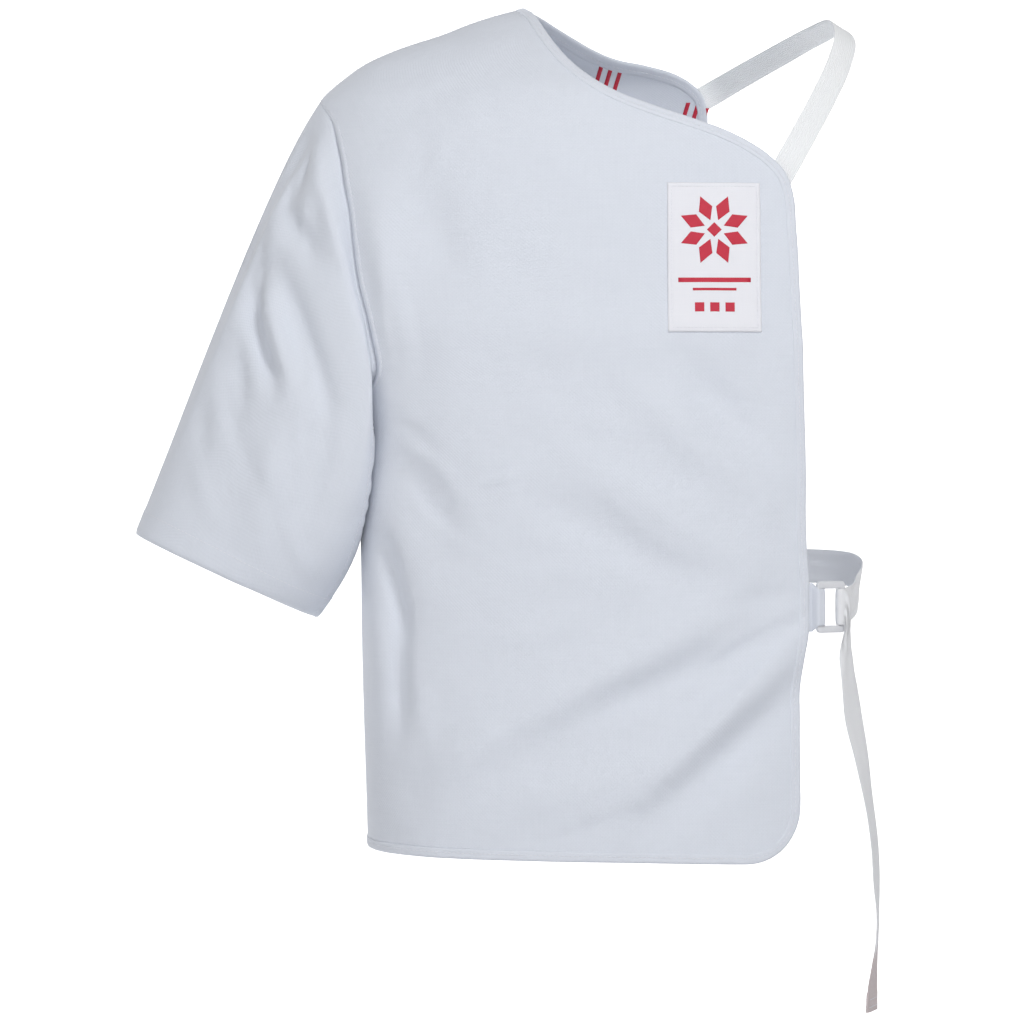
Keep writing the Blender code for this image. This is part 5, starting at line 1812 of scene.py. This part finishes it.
@dataclass(frozen=True)
class WaistStrap:
    """Webbing from the back's free edge round the open side, through the buckle, to its hemmed end."""

    finishes: "Finishes"
    buckle: Buckle
    width: float = 25.0
    thickness: float = 1.5
    on_back: tuple[Place, ...] = (
        Place(44.0, -400.5),
        Place(58.0, -401.0),
        Place(72.0, -401.5),
        Place(84.0, -402.0),
    )
    around: tuple[RoundPoint, ...] = (
        RoundPoint(104.0, 105.5, -402.0),
        RoundPoint(129.0, 93.0, -402.5),
        RoundPoint(151.0, 73.0, -403.0),
        RoundPoint(166.0, 46.0, -404.0),
        RoundPoint(172.3, 12.0, -406.5),
        RoundPoint(172.0, -18.0, -411.5),
        RoundPoint(168.5, -42.0, -418.5),
        RoundPoint(163.0, -59.5, -425.5),
    )
    lean: float = 0.2
    lean_y: float = -14.0
    lean_width: float = 26.0
    turning: tuple[TurnPoint, ...] = (
        TurnPoint(10.8, 12.0, 9.7, -12.6, 0.1),
        TurnPoint(13.2, 9.5, 9.7, -13.2, 0.7),
        TurnPoint(14.8, 2.0, 9.0, -15.0, 1.5),
        TurnPoint(14.8, -7.5, 7.6, -18.5, 2.2),
        TurnPoint(13.9, -16.5, 5.2, -23.8, 2.8),
    )
    hanging: tuple[HangPoint, ...] = (
        HangPoint(156.0, -89.0, -459, 44, 5.8),
        HangPoint(156.8, -90.0, -469, 56, 8.6),
        HangPoint(158.2, -91.5, -483, 61, 12.0),
        HangPoint(160.7, -93.0, -507, 58, 12.5),
        HangPoint(166.7, -94.0, -535, 63, 12.5),
        HangPoint(171.2, -94.5, -562, 69, 12.5),
        HangPoint(174.7, -94.5, -590, 71, 12.5),
        HangPoint(176.7, -94.0, -618, 74, 12.5),
        HangPoint(177.8, -93.5, -646, 84, 12.5),
        HangPoint(177.1, -93.0, -661, 84, 12.5),
        HangPoint(175.3, -93.0, -676, 79, 12.5),
        HangPoint(173.7, -93.5, -693, 71, 12.5),
        HangPoint(173.3, -94.0, -709, 68, 12.5),
    )
    hem_length: float = 14.0
    run_sections: int = 78
    bend_sections: int = 13

    def _run(self, radius: float) -> tuple[list[np.ndarray], list[np.ndarray]]:
        """The middle line and half widths from the back's free edge to the far bar."""
        clear = BINDING_PROUD + SEAM_GAP + self.thickness / 2 + STRAP_EASE
        centres = [BACK_CLOTH.beside(place.x, place.height, clear)[0] for place in self.on_back]
        centres += [np.array([place.x, place.y, place.height]) for place in self.around]
        centres.append(self.buckle.place(self.buckle.length / 2 + 2.5, -radius - 1.1))
        run = smooth_path(centres, self.run_sections)
        upright = np.array([0.0, 0.0, 1.0])
        along = unit(np.gradient(run, axis=0))
        at_side = np.exp(-(((run[:, 1] - self.lean_y) / self.lean_width) ** 2))[:, None]
        square = upright - np.cross(along, upright) * self.lean * at_side
        from_buckle = ease(np.arange(len(run) - 1, -1, -1) / 12.0)[:, None]
        square = unit(square - from_buckle * along * np.sum(along * square, axis=1)[:, None])
        return list(run), list(square * (self.width / 2))

    def _line(self) -> np.ndarray:
        """Every place of the strap: its middle, then from its middle to its edge."""
        inner_bar = self.buckle.length / 2 - self.buckle.bar
        radius = self.buckle.thickness / 2 + SEAM_GAP + self.thickness / 2
        run, run_half = self._run(radius)
        bend = []
        for turn in np.radians(np.linspace(-90, -270, self.bend_sections)):
            bend.append(self.buckle.place(inner_bar + radius * math.cos(turn), radius * math.sin(turn)))
        upright = np.array([0.0, 0.0, self.width / 2])
        rows = [[*place, *half] for place, half in zip(run, run_half)]
        rows += [[*place, *upright] for place in bend]
        turning = [[*bend[-1], *upright]]
        for row in self.turning:
            upper = self.buckle.place(row.upper_along, radius + row.out, row.upper_up)
            lower = self.buckle.place(row.lower_along, radius + row.out, row.lower_up)
            turning.append([*((upper + lower) / 2), *((upper - lower) / 2)])
        hang_rows = [[h.x, h.y, h.height, h.turn, h.half_width] for h in self.hanging]
        hang = smooth_path(hang_rows, 150)
        hanging = []
        for x, y, height, turn, half in hang:
            angle = math.radians(turn)
            hanging.append([x, y, height, half * math.cos(angle), half * math.sin(angle), 0.0])
        turning.append(hanging[0])
        rows += smooth_path(turning, 40)[1:-1].tolist()
        return np.array(rows + hanging)

    def build(self) -> None:
        """Makes the strap, its hemmed end and its sewing."""
        line = self._line()
        distance = lengths_along(line[:, :3])
        to_end = distance[-1] - distance
        thickness = self.thickness * (1 + ease((self.hem_length - to_end) / 1.0))
        share = np.sin(np.linspace(-math.pi / 2, math.pi / 2, 15))
        hang = ease((420 - to_end) / 60)[:, None] * ease((to_end - 4) / 12)[:, None]
        wave = 0.5 * np.sin(distance / 27.0 + 0.6)[:, None] * share
        wave = wave + 0.35 * np.sin(distance / 14.0)[:, None] * share**2
        lift = wave * hang * ease((270 - to_end) / 30)[:, None] + self._gathers(distance, share)
        sections = ribbon_sections(line[:, :3], line[:, 3:], thickness, 15, lift)
        strap = ribbon_object("waist_webbing", sections, self.width / 2)
        Piece(strap.name, "webbing", self.finishes.webbing, ("waist_strap",)).dress(strap)
        thread = Thread(pitch=2.6, length=1.9, radius=0.22)
        lines = self._sewn(line, distance, thickness)
        sewing = thread.sew("webbing_stitches", lines, "webbing", self.finishes.thread)

    def _gathers(self, distance: np.ndarray, share: np.ndarray) -> np.ndarray:
        """Small lengthwise gathers where the webbing is drawn together before and after the far bar.

        Args:
            distance: how far each section lies along the strap.
            share: where each point lies across it, from -1 to 1.

        Returns:
            The lift of each point, one row for each section.
        """
        bar_start = distance[self.run_sections - 1]
        bar_end = distance[self.run_sections + self.bend_sections - 1]
        before = ease((bar_start - 2 - distance) / 9) * ease((distance - bar_start + 52) / 26)
        after = ease((distance - bar_end - 2) / 12) * ease((bar_end + 62 - distance) / 30)
        drawn = np.sin(5.2 * share + (distance / 7.0)[:, None])
        drawn = drawn + 0.6 * np.sin(9.0 * share - (distance / 11.0)[:, None])
        return (0.75 * before + 0.6 * after)[:, None] * drawn

    def _sewn(self, line: np.ndarray, distance: np.ndarray, thickness: np.ndarray) -> list[np.ndarray]:
        """Box stitches on the back panel and two rows across the hemmed end, on both of its faces."""
        faces = unit(np.cross(unit(np.gradient(line[:, :3], axis=0)), line[:, 3:]))
        outward = faces[3] if faces[3, 1] > 0 else -faces[3]
        sign = 1.0 if faces[3, 1] > 0 else -1.0
        lines = []
        top = line[:, :3] + faces * (sign * (self.thickness / 2 - 0.05))
        inside = (distance > 3.0) & (distance < 24.0)
        for share in (-0.74, 0.74):
            stretch = (top + line[:, 3:] * share)[inside]
            lines.append(np.concatenate([stretch, (faces * sign)[inside]], axis=1))
        for at in (np.flatnonzero(inside)[0], np.flatnonzero(inside)[-1]):
            across = np.linspace(-0.74, 0.74, 14)[:, None]
            lines.append(np.concatenate([top[at] + line[at, 3:] * across, np.tile(outward, (14, 1))], axis=1))
        for inset in (3.2, 9.5):
            at = int(np.argmin(np.abs(distance[-1] - inset - distance)))
            across = np.linspace(-0.86, 0.86, 14)[:, None]
            for facing in (faces[at], -faces[at]):
                base = line[at, :3] + facing * (thickness[at] / 2 - 0.05)
                lines.append(np.concatenate([base + line[at, 3:] * across, np.tile(facing, (14, 1))], axis=1))
        return lines


@dataclass(frozen=True)
class Finishes:
    """Every material of the garment, made once."""

    cloth: bpy.types.Material
    tape: bpy.types.Material
    patch: bpy.types.Material
    elastic: bpy.types.Material
    webbing: bpy.types.Material
    thread: bpy.types.Material
    red: bpy.types.Material
    plastic: bpy.types.Material

    @staticmethod
    def made() -> "Finishes":
        """Makes the finishes from the colours seen in soft light."""
        cloth_white = (0.75, 0.785, 0.855)
        cloth_shade = (0.67, 0.705, 0.78)
        tape_shade = (0.69, 0.72, 0.79)
        plain = Weave(Grain.PLAIN, 2.5, 0.05, 0.06)
        fine = Weave(Grain.PLAIN, 1.0, 0.04, 0.03)
        finest = Weave(Grain.PLAIN, 0.7, 0.02, 0.02)
        ribbed = Weave(Grain.RIBBED, 1.5, 0.10, 0.04)
        herringbone = Weave(Grain.HERRINGBONE, 1.25, 0.12, 0.04)
        cloth = ClothFinish("protective_cloth", cloth_white, cloth_shade, plain)
        tape = ClothFinish("edge_tape", cloth_white, tape_shade, fine, uneven=0.15)
        patch = ClothFinish("patch_cloth", (0.86, 0.86, 0.90), (0.80, 0.81, 0.87), finest, 0.7, 0.15, 0.1)
        elastic = ClothFinish("ribbed_elastic", (0.95, 0.965, 0.98), (0.90, 0.92, 0.94), ribbed, uneven=0.1)
        webbing = ClothFinish(
            "white_webbing",
            (0.95, 0.96, 0.985),
            (0.89, 0.905, 0.935),
            herringbone,
            uneven=0.12,
            soiled_from=535.0,
        )
        thread = PlainFinish("white_thread", (0.84, 0.85, 0.90), (0.76, 0.77, 0.83), 0.6, 2600.0, 0.05)
        red = PlainFinish("red_ink", (0.62, 0.03, 0.06), (0.50, 0.02, 0.05), 0.55, 1500.0, 0.03)
        plastic = PlainFinish("white_plastic", (0.80, 0.81, 0.84), (0.70, 0.71, 0.75), 0.38, 900.0, 0.03)
        finishes = (cloth, tape, patch, elastic, webbing, thread, red, plastic)
        return Finishes(*(finish.material() for finish in finishes))


@dataclass(frozen=True)
class Lamp:
    """A large soft light: its place in metres, its side and its power."""

    name: str
    place: tuple[float, float, float]
    side: float
    power: float


@dataclass(frozen=True)
class Studio:
    """The plain pale set: camera, soft lights, and a floor that sweeps up behind the garment."""

    distance: float = 2.6
    camera_x: float = -76.3
    camera_height: float = -362.9
    focal_pixels: float = 3611.1
    frame_pixels: float = 1024.0
    sensor: float = 36.0
    floor_drop: float = 0.76
    floor_front: float = -4.0
    floor_half_width: float = 6.0
    wall_start: float = 5.0
    wall_radius: float = 1.2
    wall_height: float = 5.0
    glow_start: float = 0.1
    glow_over: float = 0.2
    glow: float = 0.97
    lamps: tuple[Lamp, ...] = (
        Lamp("key_light", (0.8, -1.75, 1.5), 0.5, 28.0),
        Lamp("front_light", (-0.2, -2.4, -0.2), 1.2, 8.5),
        Lamp("fill_light", (-2.4, -1.6, 0.1), 2.0, 10.0),
    )
    sky: float = 0.29

    def camera(self) -> None:
        """Places the camera where the photograph was taken from."""
        data = bpy.data.cameras.new("camera")
        data.sensor_width = self.sensor
        data.lens = self.sensor * self.focal_pixels / self.frame_pixels
        obj = bpy.data.objects.new("camera", data)
        origin = FIGURE.origin()
        x = (self.camera_x - origin[0]) * MM
        height = (self.camera_height - origin[2]) * MM
        obj.location = (x, -self.distance, height)
        obj.rotation_euler = (math.radians(90), 0, 0)
        bpy.context.scene.collection.objects.link(obj)
        bpy.context.scene.camera = obj

    def light(self) -> None:
        """Lights the garment softly from above in front, with a pale sky all round."""
        target = Vector((0.03, 0.0, -0.3))
        for lamp in self.lamps:
            data = bpy.data.lights.new(lamp.name, "AREA")
            data.size = lamp.side
            data.energy = lamp.power
            obj = bpy.data.objects.new(lamp.name, data)
            obj.location = lamp.place
            obj.rotation_euler = (target - Vector(lamp.place)).to_track_quat("-Z", "Y").to_euler()
            obj.visible_camera = False
            bpy.context.scene.collection.objects.link(obj)
        world = bpy.data.worlds.new("pale_sky")
        world.use_nodes = True
        background = world.node_tree.nodes["Background"]
        background.inputs["Color"].default_value = (1.0, 1.0, 1.0, 1.0)
        background.inputs["Strength"].default_value = self.sky
        bpy.context.scene.world = world
        bpy.context.scene.view_settings.view_transform = "Standard"

    def floor(self) -> None:
        """A pale floor that curves up into a wall behind."""
        back = self.wall_start
        radius = self.wall_radius
        sides = (-self.floor_half_width, self.floor_half_width)
        profile = [(self.floor_front, 0.0), (back, 0.0)]
        for turn in np.radians(np.linspace(-80, 0, 12)):
            profile.append((back + radius * math.cos(turn), radius + radius * math.sin(turn)))
        profile.append((back + radius, self.wall_height))
        rows = np.array([[(x, y, z - self.floor_drop) for x in sides] for y, z in profile])
        mesh = bpy.data.meshes.new("floor")
        faces, _ = grid_faces(len(profile), 2, False)
        mesh.from_pydata(rows.reshape(-1, 3).tolist(), [], faces.tolist())
        mesh.shade_smooth()
        obj = bpy.data.objects.new("floor", mesh)
        tree = Nodes("pale_floor")
        place = tree.add("ShaderNodeTexCoord").outputs["Object"]
        tone = tree.mix(tree.noise(place, 3.0, 2.0), (0.93, 0.93, 0.94), (0.91, 0.91, 0.92))
        tree.link(tone, tree.shader.inputs["Base Color"])
        tree.shader.inputs["Roughness"].default_value = 0.9
        tree.shader.inputs["Emission Color"].default_value = (1.0, 1.0, 1.0, 1.0)
        along = tree.add("ShaderNodeSeparateXYZ", [place]).outputs[1]
        into = tree.math("MULTIPLY_ADD", along, 1 / self.glow_over, -self.glow_start / self.glow_over)
        glow = tree.math("MULTIPLY", tree.math("SMOOTH_MIN", into, 1.0, 0.3), self.glow)
        tree.link(tree.math("MAXIMUM", glow, 0.0), tree.shader.inputs["Emission Strength"])
        mesh.materials.append(tree.material)
        bpy.context.scene.collection.objects.link(obj)


def main() -> None:
    """Builds the set and the garment."""
    logging.basicConfig(level=logging.INFO, format="%(name)s: %(message)s")
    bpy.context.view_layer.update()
    studio = Studio()
    studio.camera()
    studio.light()
    studio.floor()
    finishes = Finishes.made()
    front_cut = PanelCut(FRONT_CLOTH, FRONT_EDGE, -605.6, (0.41, 0.66), 1.0)
    back_cut = PanelCut(BACK_CLOTH, BACK_EDGE, -604.0, (0.46, 0.76), BACK_ARMHOLE_SHARE, columns=160)
    buckle = Buckle(finishes)
    TorsoPanel("front", front_cut, finishes, (0.40, 0.66), 0.205).build()
    TorsoPanel("back", back_cut, finishes, (0.37, 0.66), 0.195).build()
    Sleeve(front_cut, back_cut, finishes).build()
    ChestPatch(finishes).build()
    InsideMarks(finishes).build()
    ShoulderStrap(finishes).build()
    buckle.build()
    BuckleTab(finishes, buckle).build()
    WaistStrap(finishes, buckle).build()


if __name__ == "__main__":
    main()
